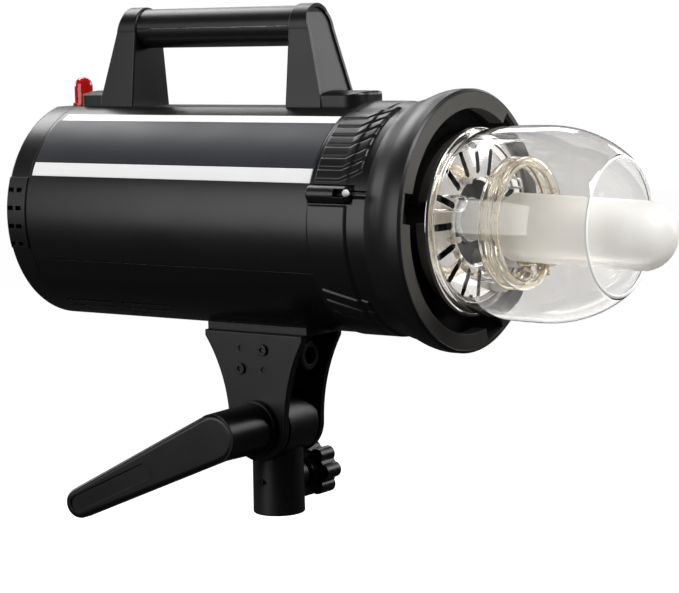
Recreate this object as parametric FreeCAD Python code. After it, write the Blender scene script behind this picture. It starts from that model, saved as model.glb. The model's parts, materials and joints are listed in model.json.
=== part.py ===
import FreeCAD, Part
import math
import os

# A studio monolight strobe on its tilting stand bracket. Millimetres.
# Origin: centre of the stand socket's mouth. +Z up, +X where the lamp points, +Y to the lamp's left.

V = FreeCAD.Vector
AXIS_X = V(1, 0, 0)
AXIS_Y = V(0, 1, 0)
AXIS_Z = V(0, 0, 1)

# Heights and stations along the lamp's axis
LAMP_Z = 175.0           # lamp axis above the socket's mouth
PIVOT_Z = 53.0           # tilt pivot
FACE_X = 136.0           # front face of the bell
BELL_BACK_X = 110.0
HOUSING_BACK_X = 71.5
SHELL_FRONT_X = 71.3
SHELL_BACK_X = -132.3
BEZEL_FRONT_X = -132.5
REAR_X = -148.0
PANEL_X = -141.0         # outer face of the recessed rear panel

# Casing
BODY_R = 64.5
WALL = 2.5
FLAT_H = 62.0            # the flat on top, above the lamp axis
TOP_Z = LAMP_Z + FLAT_H
SEAM_H = -25.2           # seam between the upper and lower shells
HOUSING_R = 65.3

# Stand socket
SPIGOT_R = 8.1           # bore for a 16 mm spigot
SPIGOT_DEPTH = 33.0
SOCKET_R = 15.2
KNUCKLE_R = 20.0
KNUCKLE_HALF = 13.6
LOCK_Z = 19.5
M8_R = 4.0
RUNNING = 0.06           # radial clearance of a running fit

# Bracket
PLATE_IN = 15.6
PLATE_T = 4.2
PLATE_OUT = PLATE_IN + PLATE_T
PLATE_TOP_Z = 108.0
FLARE_Z = 104.5          # top of the plates' curved sides
PLATE_R = 20.0
CORE_HALF = 15.5
CORE_FRONT_X = 22.5
CORE_BACK_X = -27.0
UMBRELLA_R = 5.1
UMBRELLA_Z = 94.0
UMBRELLA_SCREW_X = -20.0
M5_R = 2.5
PLATE_SCREWS = ((5.9, 98.5), (-10.4, 86.8))
PLATE_DIMPLES = ((-10.4, 98.5), (5.9, 86.8))
RAIL_BOLT_X = (-21.0, 14.0)

# Tilt lever
HUB_R = 14.0
HUB_IN = -21.2           # inner end of the hub, along Y
HUB_OUT = -60.0
TIP_X = -94.0            # centre of the paddle's round tip, from the pivot
TIP_DZ = -45.0
TIP_R = 9.0
PADDLE_Y = -56.0         # middle of the paddle at the hub
TIP_Y = -66.0
PADDLE_T = 11.0

# Handle
GRIP_R = 11.4
GRIP_Z = TOP_Z + 45.5
POST_TOP_R = 12.6
POST_FOOT_HALF = 17.4
POST_TOP_HALF = 12.6
FRONT_POST_IN = 24.0
REAR_POST_IN = -88.0
POST_TOP_T = 11.5        # post thickness at the top and at the foot
POST_FOOT_T = 24.5
FOOT_H = 9.0
FOOT_HALF = 16.4
FOOT_CROWN_R = 60.0
FRONT_FOOT_END = 73.0
REAR_FOOT_END = -130.0

# Bell and accessory mount
BELL_R = 72.0
CHANNEL_R = 67.5
MOUNT_R = 61.5
NOTCH_R = 68.0
NOTCH_HALF_DEG = 6.8
NOTCH_ANGLES = (169.5, 49.5, -70.5)

# Light source
NECK_Z = LAMP_Z + 1.0    # axis of the lamp's socket and neck
NECK_R = 11.1
NECK_END_X = FACE_X + 35.0
LAMP_R = 18.5
LAMP_TIP_X = FACE_X + 122.0
SHOULDER_X = FACE_X + 23.5
LAMP_BACK_Z = LAMP_Z - 1.8   # axis of the lamp's body at its shoulder
LAMP_DROOP = 1.6         # how far the body leans down, in degrees
DOME_HOLE_X = FACE_X + 90.7
DOME_HOLE_R = 37.4
DOME_R = 52.6
GLASS_T = 2.0
RING_R = 33.3
TUBE_R = 2.8
RING_X = (FACE_X + 27.5, FACE_X + 34.5)
RING_GAP_MID = -51.0
RING_GAP_HALF = 9.0
SOCKET_ANGLES = (-65.0, -37.0)
TUBE_SOCKET_R = 39.0


def rod(x, y, z, axis, length, r):
    """A cylinder from a start point."""
    return Part.makeCylinder(r, length, V(x, y, z), axis)


def pipe(x, y, z, axis, length, r_out, r_in):
    """A tube from a start point."""
    return rod(x, y, z, axis, length, r_out).cut(rod(x, y, z, axis, length, r_in))


def block(x0, y0, z0, x1, y1, z1):
    """A box between two corners."""
    return Part.makeBox(x1 - x0, y1 - y0, z1 - z0, V(x0, y0, z0))


def polar(r, angle):
    """The point at a radius and angle about the lamp axis, as (y, z)."""
    a = math.radians(angle)
    return r * math.cos(a), LAMP_Z + r * math.sin(a)


def about_lamp(shape, angle):
    """A copy turned about the lamp axis; angle 0 is towards +Y, 90 is up."""
    turned_shape = shape.copy()
    turned_shape.rotate(V(0, 0, LAMP_Z), AXIS_X, angle)
    return turned_shape


def fuse(shapes):
    """One shape from several."""
    first = shapes[0]
    if len(shapes) == 1:
        return first
    return first.multiFuse(shapes[1:])


def group(shapes):
    """Separate solids kept together in one node."""
    return Part.makeCompound(shapes)


def turned(points, axis_z=LAMP_Z):
    """A closed outline of (x, radius) points, turned about an axis along X."""
    corners = [V(x, 0, axis_z + r) for x, r in points]
    face = Part.Face(Part.makePolygon(corners + corners[:1]))
    return face.revolve(V(0, 0, axis_z), AXIS_X, 360)


def flat_prism(points, y0, y1):
    """A closed outline of (x, z) points, extruded along Y."""
    corners = [V(x, y0, z) for x, z in points]
    face = Part.Face(Part.makePolygon(corners + corners[:1]))
    return face.extrude(V(0, y1 - y0, 0))


def rounded(shape, edges, r):
    """The shape with some edges filleted."""
    return shape.makeFillet(r, edges)


def arc(a, b, c):
    """An edge through three points."""
    return Part.Arc(a, b, c).toShape()


def line(a, b):
    """A straight edge."""
    return Part.LineSegment(a, b).toShape()


def between(p, q, r):
    """A cylinder from one point to another."""
    d = q.sub(p)
    return Part.makeCylinder(r, d.Length, p, d)


# ---------------------------------------------------------------- stand socket

def stand_socket():
    tube = Part.makeCone(SOCKET_R, SOCKET_R - 0.4, PIVOT_Z - 12, V(0, 0, 0), AXIS_Z)
    tube = rounded(tube, [e for e in tube.Edges if e.BoundBox.ZMax < 0.1], 1.2)
    knuckle = rod(0, -KNUCKLE_HALF, PIVOT_Z, AXIS_Y, 2 * KNUCKLE_HALF, KNUCKLE_R)
    neck = block(-SOCKET_R, -KNUCKLE_HALF, 30, SOCKET_R, KNUCKLE_HALF, PIVOT_Z)
    neck = neck.common(rod(0, 0, 30, AXIS_Z, 30, SOCKET_R - 0.3))
    boss = rod(0, 0, LOCK_Z, AXIS_Y, 18, 9)
    body = fuse([tube, knuckle, neck, boss])
    body = body.cut(rod(0, 0, 0, AXIS_Z, SPIGOT_DEPTH, SPIGOT_R))
    body = body.cut(rod(0, -20, PIVOT_Z, AXIS_Y, 40, M8_R + RUNNING))
    body = body.cut(rod(0, 0, LOCK_Z, AXIS_Y, 20, 6))
    return body.cut(rod(0, -20, LOCK_Z, AXIS_Y, 20, M5_R))


def lock_screw_bush():
    bush = pipe(0, 5, LOCK_Z, AXIS_Y, 13.2, 6, M8_R + RUNNING)
    return bush.cut(rod(0, 0, 0, AXIS_Z, SPIGOT_DEPTH, SPIGOT_R))


def socket_grub_screw():
    grub = rod(0, -14.2, LOCK_Z, AXIS_Y, 5.6, M5_R)
    return grub.cut(hexagon(0, LOCK_Z, 1.3, -14.3, -12.0))


def hexagon(x, z, r, y0, y1):
    """A hexagonal bar along Y."""
    angles = [math.radians(60 * i) for i in range(6)]
    corners = [(x + r * math.cos(a), z + r * math.sin(a)) for a in angles]
    return flat_prism(corners, y0, y1)


def stand_lock_screw():
    return rod(0, 8.4, LOCK_Z, AXIS_Y, 29.2, M8_R)


def star_knob(x, z, y0, y1, r, lobes, lobe_r, hub_r, neck_y, bore_r):
    """A lobed knob along +Y with a neck towards the screw and a blind bore."""
    disc = rod(x, y0, z, AXIS_Y, y1 - y0, r - lobe_r * 0.75)
    for i in range(lobes):
        a = 2 * math.pi * i / lobes
        lobe_x = x + (r - lobe_r) * math.cos(a)
        lobe_z = z + (r - lobe_r) * math.sin(a)
        disc = disc.fuse(rod(lobe_x, y0, lobe_z, AXIS_Y, y1 - y0, lobe_r))
    knob = disc.fuse(rod(x, neck_y, z, AXIS_Y, y1 - neck_y, hub_r))
    knob = knob.fuse(rod(x, y1, z, AXIS_Y, 1.2, hub_r - 1))
    return knob.cut(rod(x, neck_y, z, AXIS_Y, y1 - neck_y - 2.5, bore_r))


def stand_lock_knob():
    return star_knob(0, LOCK_Z, 27.5, 40.5, 16.3, 7, 4.6, 9, 22, M8_R + RUNNING)


# ---------------------------------------------------------------- tilting bracket

def plate_outline(y):
    """The flared plate with its round lower end, as a closed wire."""
    edges = [arc(V(-PLATE_R, y, PIVOT_Z), V(0, y, PIVOT_Z - PLATE_R), V(PLATE_R, y, PIVOT_Z))]
    corners = []
    for top_x, side in ((33.6, 1), (-36.3, -1)):
        rise = FLARE_Z - PIVOT_Z
        spread = abs(top_x) - PLATE_R
        flare_r = (spread ** 2 + rise ** 2) / (2 * spread)
        half = math.asin(rise / flare_r) / 2
        middle_x = side * (PLATE_R + flare_r * (1 - math.cos(half)))
        middle = V(middle_x, y, PIVOT_Z + flare_r * math.sin(half))
        waist = V(side * PLATE_R, y, PIVOT_Z)
        flare_top = V(top_x, y, FLARE_Z)
        corner = V(top_x, y, PLATE_TOP_Z)
        edges += [arc(waist, middle, flare_top), line(flare_top, corner)]
        corners.append(corner)
    edges.append(line(corners[0], corners[1]))
    return Part.Wire(Part.__sortEdges__(edges))


def bracket_plate(side):
    """side is -1 for the plate on the lever's side, +1 for the other."""
    start = PLATE_IN if side > 0 else -PLATE_OUT
    plate = Part.Face(plate_outline(start)).extrude(V(0, PLATE_T, 0))
    outer_y = side * PLATE_OUT
    faces = [(e, e.BoundBox) for e in plate.Edges]
    rim = [e for e, box in faces if abs(box.YMin - outer_y) < 0.01 and abs(box.YMax - outer_y) < 0.01]
    plate = rounded(plate, rim, 0.8)
    plate = plate.cut(rod(0, start - 1, PIVOT_Z, AXIS_Y, PLATE_T + 2, M8_R + RUNNING))
    for x, z in PLATE_SCREWS:
        plate = plate.cut(rod(x, start - 1, z, AXIS_Y, PLATE_T + 2, 2.0))
    for x, z in PLATE_DIMPLES:
        dimple_y = PLATE_OUT - 0.8 if side > 0 else -PLATE_OUT - 0.2
        plate = plate.cut(rod(x, dimple_y, z, AXIS_Y, 1.0, 1.6))
    if side > 0:
        plate = plate.cut(rod(UMBRELLA_SCREW_X, start - 1, UMBRELLA_Z, AXIS_Y, PLATE_T + 2, 3.4))
    return plate


def bracket_core():
    web = block(CORE_BACK_X, -CORE_HALF, 70, CORE_FRONT_X, CORE_HALF, PLATE_TOP_Z)
    web = web.common(Part.Face(plate_outline(-CORE_HALF)).extrude(V(0, 2 * CORE_HALF, 0)))
    web = web.cut(rod(0, -CORE_HALF, PIVOT_Z, AXIS_Y, 2 * CORE_HALF, KNUCKLE_R + 1.5))
    web = web.cut(rod(CORE_FRONT_X + 4.5, -CORE_HALF, 71, AXIS_Y, 2 * CORE_HALF, 17.5))
    saddle = block(-37, -CORE_HALF, PLATE_TOP_Z - 1, 34, CORE_HALF, 116)
    saddle = saddle.cut(rod(-60, 0, LAMP_Z, AXIS_X, 120, BODY_R + 0.05))
    collar = rod(CORE_FRONT_X - 4, 0, UMBRELLA_Z, AXIS_X, 6.5, 9)
    collar = rounded(collar, [e for e in collar.Edges if e.BoundBox.XMin > CORE_FRONT_X + 2], 1.5)
    core = fuse([web, saddle, collar])
    core = core.cut(rod(-60, 0, UMBRELLA_Z, AXIS_X, 120, UMBRELLA_R))
    core = core.cut(rod(UMBRELLA_SCREW_X, 0, UMBRELLA_Z, AXIS_Y, 30, M5_R + RUNNING))
    for x, z in PLATE_SCREWS:
        core = core.cut(rod(x, -CORE_HALF - 1, z, AXIS_Y, 8, 2.0))
        core = core.cut(rod(x, CORE_HALF - 7, z, AXIS_Y, 8, 2.0))
    for x in RAIL_BOLT_X:
        core = core.cut(rod(x, 0, 101, AXIS_Z, 20, M5_R))
    return core


def bracket_screws():
    screws = []
    for x, z in PLATE_SCREWS:
        for side in (-1, 1):
            head_y = PLATE_OUT if side > 0 else -PLATE_OUT - 1.8
            head = rod(x, head_y, z, AXIS_Y, 1.8, 3.3)
            outer = side * (1.8 + PLATE_OUT)
            recess = hexagon(x, z, 1.5, outer - 1.2, outer + 1.2)
            shank_y = CORE_HALF - 6 if side > 0 else -PLATE_OUT
            shank = rod(x, shank_y, z, AXIS_Y, PLATE_OUT - CORE_HALF + 6, 2.0)
            screws.append(head.cut(recess).fuse(shank))
    for x in RAIL_BOLT_X:
        bolt = rod(x, 0, 101.2, AXIS_Z, 23, M5_R)
        nut = rod(x, 0, 120.1, AXIS_Z, 4, 4.5)
        screws.append(bolt.fuse(nut))
    return group(screws)


def friction_washers():
    inner_gap = PLATE_IN - KNUCKLE_HALF - 0.35
    left = pipe(0, -PLATE_IN, PIVOT_Z, AXIS_Y, inner_gap, 11, 4.3)
    right = pipe(0, PLATE_IN - inner_gap, PIVOT_Z, AXIS_Y, inner_gap, 11, 4.3)
    hub_side = pipe(0, -PLATE_OUT - 1, PIVOT_Z, AXIS_Y, 1, 10, 4.3)
    head_side = pipe(0, PLATE_OUT, PIVOT_Z, AXIS_Y, 1, 9, 4.3)
    return group([left, right, hub_side, head_side])


def tilt_bolt():
    head_y = PLATE_OUT + 1
    shank = rod(0, -55, PIVOT_Z, AXIS_Y, 55 + head_y, M8_R)
    head = hexagon(0, PIVOT_Z, 7.2, head_y, head_y + 5)
    return shank.fuse(head)


def tapered_slot(x0, z0, r0, x1, z1, r1, y):
    """Two circles of different size joined by tangent lines, as a closed wire."""
    length = math.hypot(x1 - x0, z1 - z0)
    heading = math.atan2(z1 - z0, x1 - x0)
    lean = math.acos((r0 - r1) / length)

    def on(x, z, r, a):
        return V(x + r * math.cos(a), y, z + r * math.sin(a))

    a_up = heading + lean
    a_down = heading - lean
    edges = [
        line(on(x0, z0, r0, a_up), on(x1, z1, r1, a_up)),
        arc(on(x1, z1, r1, a_up), on(x1, z1, r1, heading), on(x1, z1, r1, a_down)),
        line(on(x1, z1, r1, a_down), on(x0, z0, r0, a_down)),
        arc(on(x0, z0, r0, a_down), on(x0, z0, r0, heading + math.pi), on(x0, z0, r0, a_up)),
    ]
    return Part.Wire(edges)


def lever_slab(middle_y, thickness):
    """A slab that leans outwards from the hub to the tip."""
    slab = block(-140, -thickness / 2, -40, 40, thickness / 2, 120)
    splay = math.degrees(math.atan2(PADDLE_Y - TIP_Y, -TIP_X))
    slab.rotate(V(0, 0, 0), AXIS_Z, splay)
    slab.translate(V(0, middle_y, 0))
    return slab


def tilt_lever():
    hub = Part.makeCone(HUB_R + 0.8, HUB_R, HUB_IN - HUB_OUT, V(0, HUB_IN, PIVOT_Z), V(0, -1, 0))
    flange = rod(0, HUB_IN - 2.5, PIVOT_Z, AXIS_Y, 2.5, HUB_R + 2)
    tip_z = PIVOT_Z + TIP_DZ
    outline = tapered_slot(0, PIVOT_Z, HUB_R, TIP_X, tip_z, TIP_R, -90)
    paddle = Part.Face(outline).extrude(V(0, 60, 0)).common(lever_slab(PADDLE_Y, PADDLE_T))
    rim = [e for e in paddle.Edges if e.Length > 2 * PADDLE_T]
    lever = rounded(paddle, rim, 3.0).fuse(hub)
    groove = tapered_slot(0.5 * TIP_X, PIVOT_Z + 0.5 * TIP_DZ, 4.8, TIP_X, tip_z, 4.8, -90)
    recess = Part.Face(groove).extrude(V(0, 60, 0)).common(lever_slab(PADDLE_Y - PADDLE_T + 1.2, PADDLE_T))
    lever = lever.cut(recess).fuse(flange)
    return lever.cut(rod(0, -57, PIVOT_Z, AXIS_Y, 40, 7))


def lever_insert():
    return pipe(0, -56.5, PIVOT_Z, AXIS_Y, 35, 7, M8_R + RUNNING)


def umbrella_lock_screw():
    return rod(UMBRELLA_SCREW_X, UMBRELLA_R + 0.2, UMBRELLA_Z, AXIS_Y, 25, M5_R)


def umbrella_lock_knob():
    return star_knob(UMBRELLA_SCREW_X, UMBRELLA_Z, 25, 33, 8.5, 6, 2.6, 5, 22.5, M5_R + RUNNING)


# ---------------------------------------------------------------- casing

def casing_section(x0, x1, r, flat):
    """A solid round bar along the lamp axis with the flat on top."""
    bar = rod(x0, 0, LAMP_Z, AXIS_X, x1 - x0, r)
    return bar.cut(block(x0 - 1, -r - 1, LAMP_Z + flat, x1 + 1, r + 1, LAMP_Z + r + 1))


def shell_tube():
    outer = casing_section(SHELL_BACK_X, SHELL_FRONT_X, BODY_R, FLAT_H)
    return outer.cut(casing_section(SHELL_BACK_X, SHELL_FRONT_X, BODY_R - WALL, FLAT_H - WALL))


def shell_upper():
    seam_z = LAMP_Z + SEAM_H
    shell = shell_tube().common(block(-200, -80, seam_z, 200, 80, 300))
    for x, y, z in handle_screw_places():
        shell = shell.cut(rod(x, y, 230, AXIS_Z, 10, 2.1))
    return shell


def shell_lower():
    seam_z = LAMP_Z + SEAM_H - 0.3
    shell = shell_tube().common(block(-200, -80, 0, 200, 80, seam_z))
    vent = block(-17.5, BODY_R - 6, LAMP_Z - 1.0, 17.5, BODY_R + 4, LAMP_Z + 1.0)
    for middle_x in (-108.0, -65.0):
        slot = vent.copy()
        slot.translate(V(middle_x, 0, 0))
        for angle in (-53.5, -59.5, -65.5):
            shell = shell.cut(about_lamp(slot, angle))
            shell = shell.cut(about_lamp(slot, 180 - angle))
    for x in RAIL_BOLT_X:
        shell = shell.cut(rod(x, 0, 105, AXIS_Z, 12, M5_R))
    return shell


def band(x0, x1, low_angle, high_angle, r_in, r_out):
    """A thin curved sheet on the casing between two angles, on both sides."""
    ring = pipe(x0, 0, LAMP_Z, AXIS_X, x1 - x0, r_out, r_in)
    sheets = []
    for side in (1, -1):
        corners = [V(x0, 0, LAMP_Z)]
        for angle in (low_angle, high_angle):
            a = math.radians(angle)
            corners.append(V(x0, side * 90 * math.cos(a), LAMP_Z + 90 * math.sin(a)))
        wedge = Part.Face(Part.makePolygon(corners + corners[:1])).extrude(V(x1 - x0, 0, 0))
        sheets.append(ring.common(wedge))
    return sheets


def label_panels():
    return group(band(-130.0, 71.2, 28.8, 57.1, BODY_R + 0.02, BODY_R + 0.3))


def label_stripes():
    low = band(-130.0, 71.2, 21.3, 28.6, BODY_R + 0.02, BODY_R + 0.35)
    high = band(-127.5, 71.2, 57.3, 63.2, BODY_R + 0.02, BODY_R + 0.35)
    return group(low + high)


def chassis_rail():
    plate = block(-118, -20, 118, 60, 20, 120)
    lips = [block(-118, -20, 118, 60, -18.4, 128), block(-118, 18.4, 118, 60, 20, 128)]
    bosses = [rod(x, 0, 113.5, AXIS_Z, 5, 5) for x in RAIL_BOLT_X]
    rail = fuse([plate] + lips + bosses)
    for x in RAIL_BOLT_X:
        rail = rail.cut(rod(x, 0, 110, AXIS_Z, 15, M5_R))
    return rail


# ---------------------------------------------------------------- handle

def tombstone(x0, x1, inset):
    """The post's outline across the lamp axis: wide foot, narrow round top."""
    foot = POST_FOOT_HALF - inset
    top = POST_TOP_HALF - inset
    low_z = TOP_Z + (inset * 1.6 if inset else 0)
    edges = [
        line(V(x0, -foot, low_z), V(x0, -top, GRIP_Z - 2)),
        arc(V(x0, -top, GRIP_Z - 2), V(x0, 0, GRIP_Z + POST_TOP_R - inset), V(x0, top, GRIP_Z - 2)),
        line(V(x0, top, GRIP_Z - 2), V(x0, foot, low_z)),
        line(V(x0, foot, low_z), V(x0, -foot, low_z)),
    ]
    return Part.Face(Part.Wire(edges)).extrude(V(x1 - x0, 0, 0))


def post_side(inner_x, side, depth):
    """The post's outline seen from the side, with its sloping outer face set back by depth."""
    top_x = inner_x + side * (POST_TOP_T - depth)
    foot_x = inner_x + side * (POST_FOOT_T - depth)
    corners = [
        (inner_x, TOP_Z - 1), (inner_x, 300), (top_x, 300), (top_x, 290),
        (foot_x, TOP_Z + 4), (foot_x, TOP_Z - 1),
    ]
    return flat_prism(corners, -30, 30)


def handle_foot(start_x, end_x, side, corner_r):
    """A low crowned foot whose end has round corners."""
    plan = block(min(start_x, end_x), -FOOT_HALF, TOP_Z, max(start_x, end_x), FOOT_HALF, TOP_Z + FOOT_H)
    boxes = [(e, e.BoundBox) for e in plan.Edges]
    corners = [e for e, box in boxes if box.ZLength > 1 and abs(box.XMin - end_x) < 0.01]
    plan = rounded(plan, corners, corner_r)
    top_z = TOP_Z + FOOT_H
    boxes = [(e, e.BoundBox) for e in plan.Edges]
    top_edges = [(e, box) for e, box in boxes if box.ZMin > top_z - 0.01]
    rim = [e for e, box in top_edges if box.XLength > 1 or abs(box.XMin - end_x) < 0.01]
    plan = rounded(plan, rim, 2.5)
    crown = rod(-200, 0, TOP_Z + FOOT_H - FOOT_CROWN_R, AXIS_X, 400, FOOT_CROWN_R)
    return plan.common(crown)


def handle_post(inner_x, side, foot_start, foot_end, corner_r):
    low_x = min(inner_x, inner_x + side * 30)
    outside = post_side(inner_x, side, 0)
    post = tombstone(low_x, low_x + 30, 0).common(outside)
    inset = tombstone(low_x, low_x + 30, 2.2).common(outside.cut(post_side(inner_x, side, 1.0)))
    post = post.cut(inset)
    inner = [e for e in post.Edges if e.BoundBox.XLength < 0.01 and abs(e.BoundBox.XMin - inner_x) < 0.01]
    post = rounded(post, [e for e in inner if e.BoundBox.ZMax > TOP_Z + 1], 1.0)
    post = post.fuse(handle_foot(foot_start, foot_end, side, corner_r))
    post = post.cut(rod(min(inner_x, inner_x + side * 8), 0, GRIP_Z, AXIS_X, 8, 5))
    for x, y, z in handle_screw_places():
        post = post.cut(rod(x, y, TOP_Z - 1, AXIS_Z, 15, 2.0))
    return post


def handle_post_front():
    return handle_post(FRONT_POST_IN, 1, FRONT_POST_IN + POST_FOOT_T - 3, FRONT_FOOT_END, 12.0)


def handle_post_rear():
    return handle_post(REAR_POST_IN, -1, REAR_POST_IN - POST_FOOT_T + 3, REAR_FOOT_END, 5.0)


def handle_grip():
    length = FRONT_POST_IN - REAR_POST_IN - 0.2
    tube = pipe(REAR_POST_IN + 0.1, 0, GRIP_Z, AXIS_X, length, GRIP_R, 5.05)
    upper = tube.common(block(-200, -20, GRIP_Z + 0.15, 200, 20, 300))
    lower = tube.common(block(-200, -20, 250, 200, 20, GRIP_Z - 0.15))
    return group([upper, lower])


def handle_rod():
    return rod(REAR_POST_IN - 7.8, 0, GRIP_Z, AXIS_X, FRONT_POST_IN - REAR_POST_IN + 15.6, 5)


def handle_screw_places():
    return [(x, y, TOP_Z - WALL - 3) for x in (36.0, -100.0) for y in (-8.0, 8.0)]


def handle_screws():
    screws = []
    for x, y, z in handle_screw_places():
        screws.append(rod(x, y, z, AXIS_Z, 2.9, 4).fuse(rod(x, y, z, AXIS_Z, 19, 2.0)))
    return group(screws)


# ---------------------------------------------------------------- front housing and bell

PAD_BACK_X = 74.6
PAD_FRONT_X = 91.0
PAD_LOW_ANGLE = 22.3
PAD_PITCH = 6.2
PAD_COUNT = 7
WAIST_R = 64.3           # the housing's recessed front part


def housing_ribs():
    """Axial bars beside the label and swept ribs above and below, on both sides."""
    ribs = []
    for i in range(PAD_COUNT):
        bar = block(PAD_BACK_X, HOUSING_R - 1.0, LAMP_Z - 3.0, PAD_FRONT_X, HOUSING_R + 1.1, LAMP_Z + 3.0)
        angle = PAD_LOW_ANGLE + PAD_PITCH * (i + 0.5)
        ribs += [about_lamp(bar, angle), about_lamp(bar, 180 - angle)]
        sweep = block(-7.5, HOUSING_R - 2.5, -1.9, 7.5, HOUSING_R + 0.2, 1.9)
        for place, lean in ((angle + 4.0, 24.0), (-angle - 9.0, -20.0)):
            for mirror in (False, True):
                rib = sweep.copy()
                rib.rotate(V(0, 0, 0), AXIS_Y, lean if mirror else -lean)
                rib.translate(V(98.0 if place > 0 else 92.0, 0, LAMP_Z))
                ribs.append(about_lamp(rib, 180 - place if mirror else place))
    return ribs


def front_housing():
    length = BELL_BACK_X - HOUSING_BACK_X
    ring = rod(HOUSING_BACK_X, 0, LAMP_Z, AXIS_X, 97 - HOUSING_BACK_X, HOUSING_R)
    ring = ring.fuse(rod(96, 0, LAMP_Z, AXIS_X, BELL_BACK_X - 96, WAIST_R))
    side_panel = block(HOUSING_BACK_X + 0.5, -80, LAMP_Z - 48, 98, 80, LAMP_Z + 12)
    raised = rod(HOUSING_BACK_X, 0, LAMP_Z, AXIS_X, length, HOUSING_R + 0.6).common(side_panel)
    ring = fuse([ring, raised] + housing_ribs())
    ring = ring.cut(rod(HOUSING_BACK_X - 1, 0, LAMP_Z, AXIS_X, length + 2, HOUSING_R - 3))
    ring = ring.cut(block(HOUSING_BACK_X - 1, -20, TOP_Z, FRONT_FOOT_END + 0.4, 20, 260))
    y, z = polar(BARREL_RADIUS, BARREL_ANGLE)
    ring = ring.cut(rod(HOUSING_BACK_X - 1, y, z, AXIS_X, BARREL_FRONT_X - HOUSING_BACK_X + 1.1, BARREL_R))
    groove = block(BARREL_FRONT_X, 58, LAMP_Z - 2.2, BELL_BACK_X + 1, 80, LAMP_Z + 2.2)
    return ring.cut(about_lamp(groove, BARREL_ANGLE))


def bell_collar():
    flare = [(BELL_BACK_X, 66.4), (112.5, 66.9), (117.5, 68.6), (123, 70.7), (128, 71.8), (132.0, BELL_R)]
    points = [V(x, 0, LAMP_Z + r) for x, r in flare]
    curve = Part.BSplineCurve()
    curve.interpolate(points)
    rest = [
        (132.0, BELL_R), (FACE_X - 1.2, BELL_R), (FACE_X, BELL_R - 1.2), (FACE_X, 70.2),
        (FACE_X - 3.2, 70.2), (FACE_X - 3.2, CHANNEL_R), (BELL_BACK_X + 4, 64.4), (BELL_BACK_X + 4, 62.5),
        (BELL_BACK_X, 62.5), (BELL_BACK_X, 66.4),
    ]
    corners = [V(x, 0, LAMP_Z + r) for x, r in rest]
    edges = [curve.toShape()] + [line(p, q) for p, q in zip(corners, corners[1:])]
    collar = Part.Face(Part.Wire(edges)).revolve(V(0, 0, LAMP_Z), AXIS_X, 360)
    y, z = polar(BARREL_RADIUS, BARREL_ANGLE)
    return collar.cut(rod(BELL_BACK_X - 2, y, z, AXIS_X, 22, 2.0))


def bayonet_ring():
    ring = pipe(FACE_X - 3.1, 0, LAMP_Z, AXIS_X, 3.1, 70.15, MOUNT_R)
    skirt = pipe(FACE_X - 9, 0, LAMP_Z, AXIS_X, 6, MOUNT_R + 1.6, MOUNT_R)
    ring = ring.fuse(skirt)
    half_width = NOTCH_R * math.tan(math.radians(NOTCH_HALF_DEG))
    for angle in NOTCH_ANGLES:
        notch = block(FACE_X - 10, 50, LAMP_Z - half_width, FACE_X + 1, NOTCH_R, LAMP_Z + half_width)
        ring = ring.cut(about_lamp(notch, angle))
    return ring


BARREL_R = 4.9
BARREL_ANGLE = 163.7
BARREL_RADIUS = 64.2
BARREL_NOSE_X = 96.8
BARREL_FRONT_X = 100.0
PIN_R = 1.6
BALL_X = 98.7
BALL_R = 2.0
BALL_RADIUS = 68.6       # from the lamp axis
SPRING_BORE_X = 74.5


def release_barrel():
    y, z = polar(BARREL_RADIUS, BARREL_ANGLE)
    barrel = rod(HOUSING_BACK_X + 0.5, y, z, AXIS_X, BARREL_NOSE_X - HOUSING_BACK_X - 0.5, BARREL_R)
    barrel = rounded(barrel, [e for e in barrel.Edges if e.BoundBox.XMax < 73], 1.2)
    nose_length = BARREL_FRONT_X - BARREL_NOSE_X
    barrel = barrel.fuse(Part.makeCone(BARREL_R, 3.4, nose_length, V(BARREL_NOSE_X, y, z), AXIS_X))
    barrel = barrel.cut(rod(SPRING_BORE_X, y, z, AXIS_X, 35, 2.0))
    half = BALL_R + 0.2
    slot = block(BALL_X - 8.5, BARREL_RADIUS, LAMP_Z - half, BARREL_FRONT_X + 1, 80, LAMP_Z + half)
    return barrel.cut(about_lamp(slot, BARREL_ANGLE))


def lock_pin():
    y, z = polar(BARREL_RADIUS, BARREL_ANGLE)
    pin = rod(87, y, z, AXIS_X, 39, PIN_R)
    stud = rod(BALL_X, BARREL_RADIUS, LAMP_Z, AXIS_Y, BALL_RADIUS - BARREL_RADIUS, 1.0)
    ball = Part.makeSphere(BALL_R, V(BALL_X, BALL_RADIUS, LAMP_Z))
    return pin.fuse(about_lamp(stud.fuse(ball), BARREL_ANGLE))


def pin_spring():
    y, z = polar(BARREL_RADIUS, BARREL_ANGLE)
    helix = Part.makeHelix(1.8, 11.9, 1.3)
    wire_section = Part.Wire(Part.Circle(V(1.3, 0, 0), V(0, 1, 0.15), 0.25).toShape())
    spring = Part.Wire(helix.Edges).makePipeShell([wire_section], True, True)
    spring.rotate(V(0, 0, 0), AXIS_Y, 90)
    spring.translate(V(SPRING_BORE_X + 0.35, y, z))
    return spring


# ---------------------------------------------------------------- light source

def front_bulkhead():
    disc = pipe(116, 0, LAMP_Z, AXIS_X, 2.5, 64.2, 22.6)
    web = pipe(BELL_BACK_X + 4.1, 0, LAMP_Z, AXIS_X, 2, 64.2, 58)
    disc = disc.fuse(web)
    y, z = polar(BARREL_RADIUS, BARREL_ANGLE)
    return disc.cut(rod(BELL_BACK_X, y, z, AXIS_X, 12, 2.2))


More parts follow.
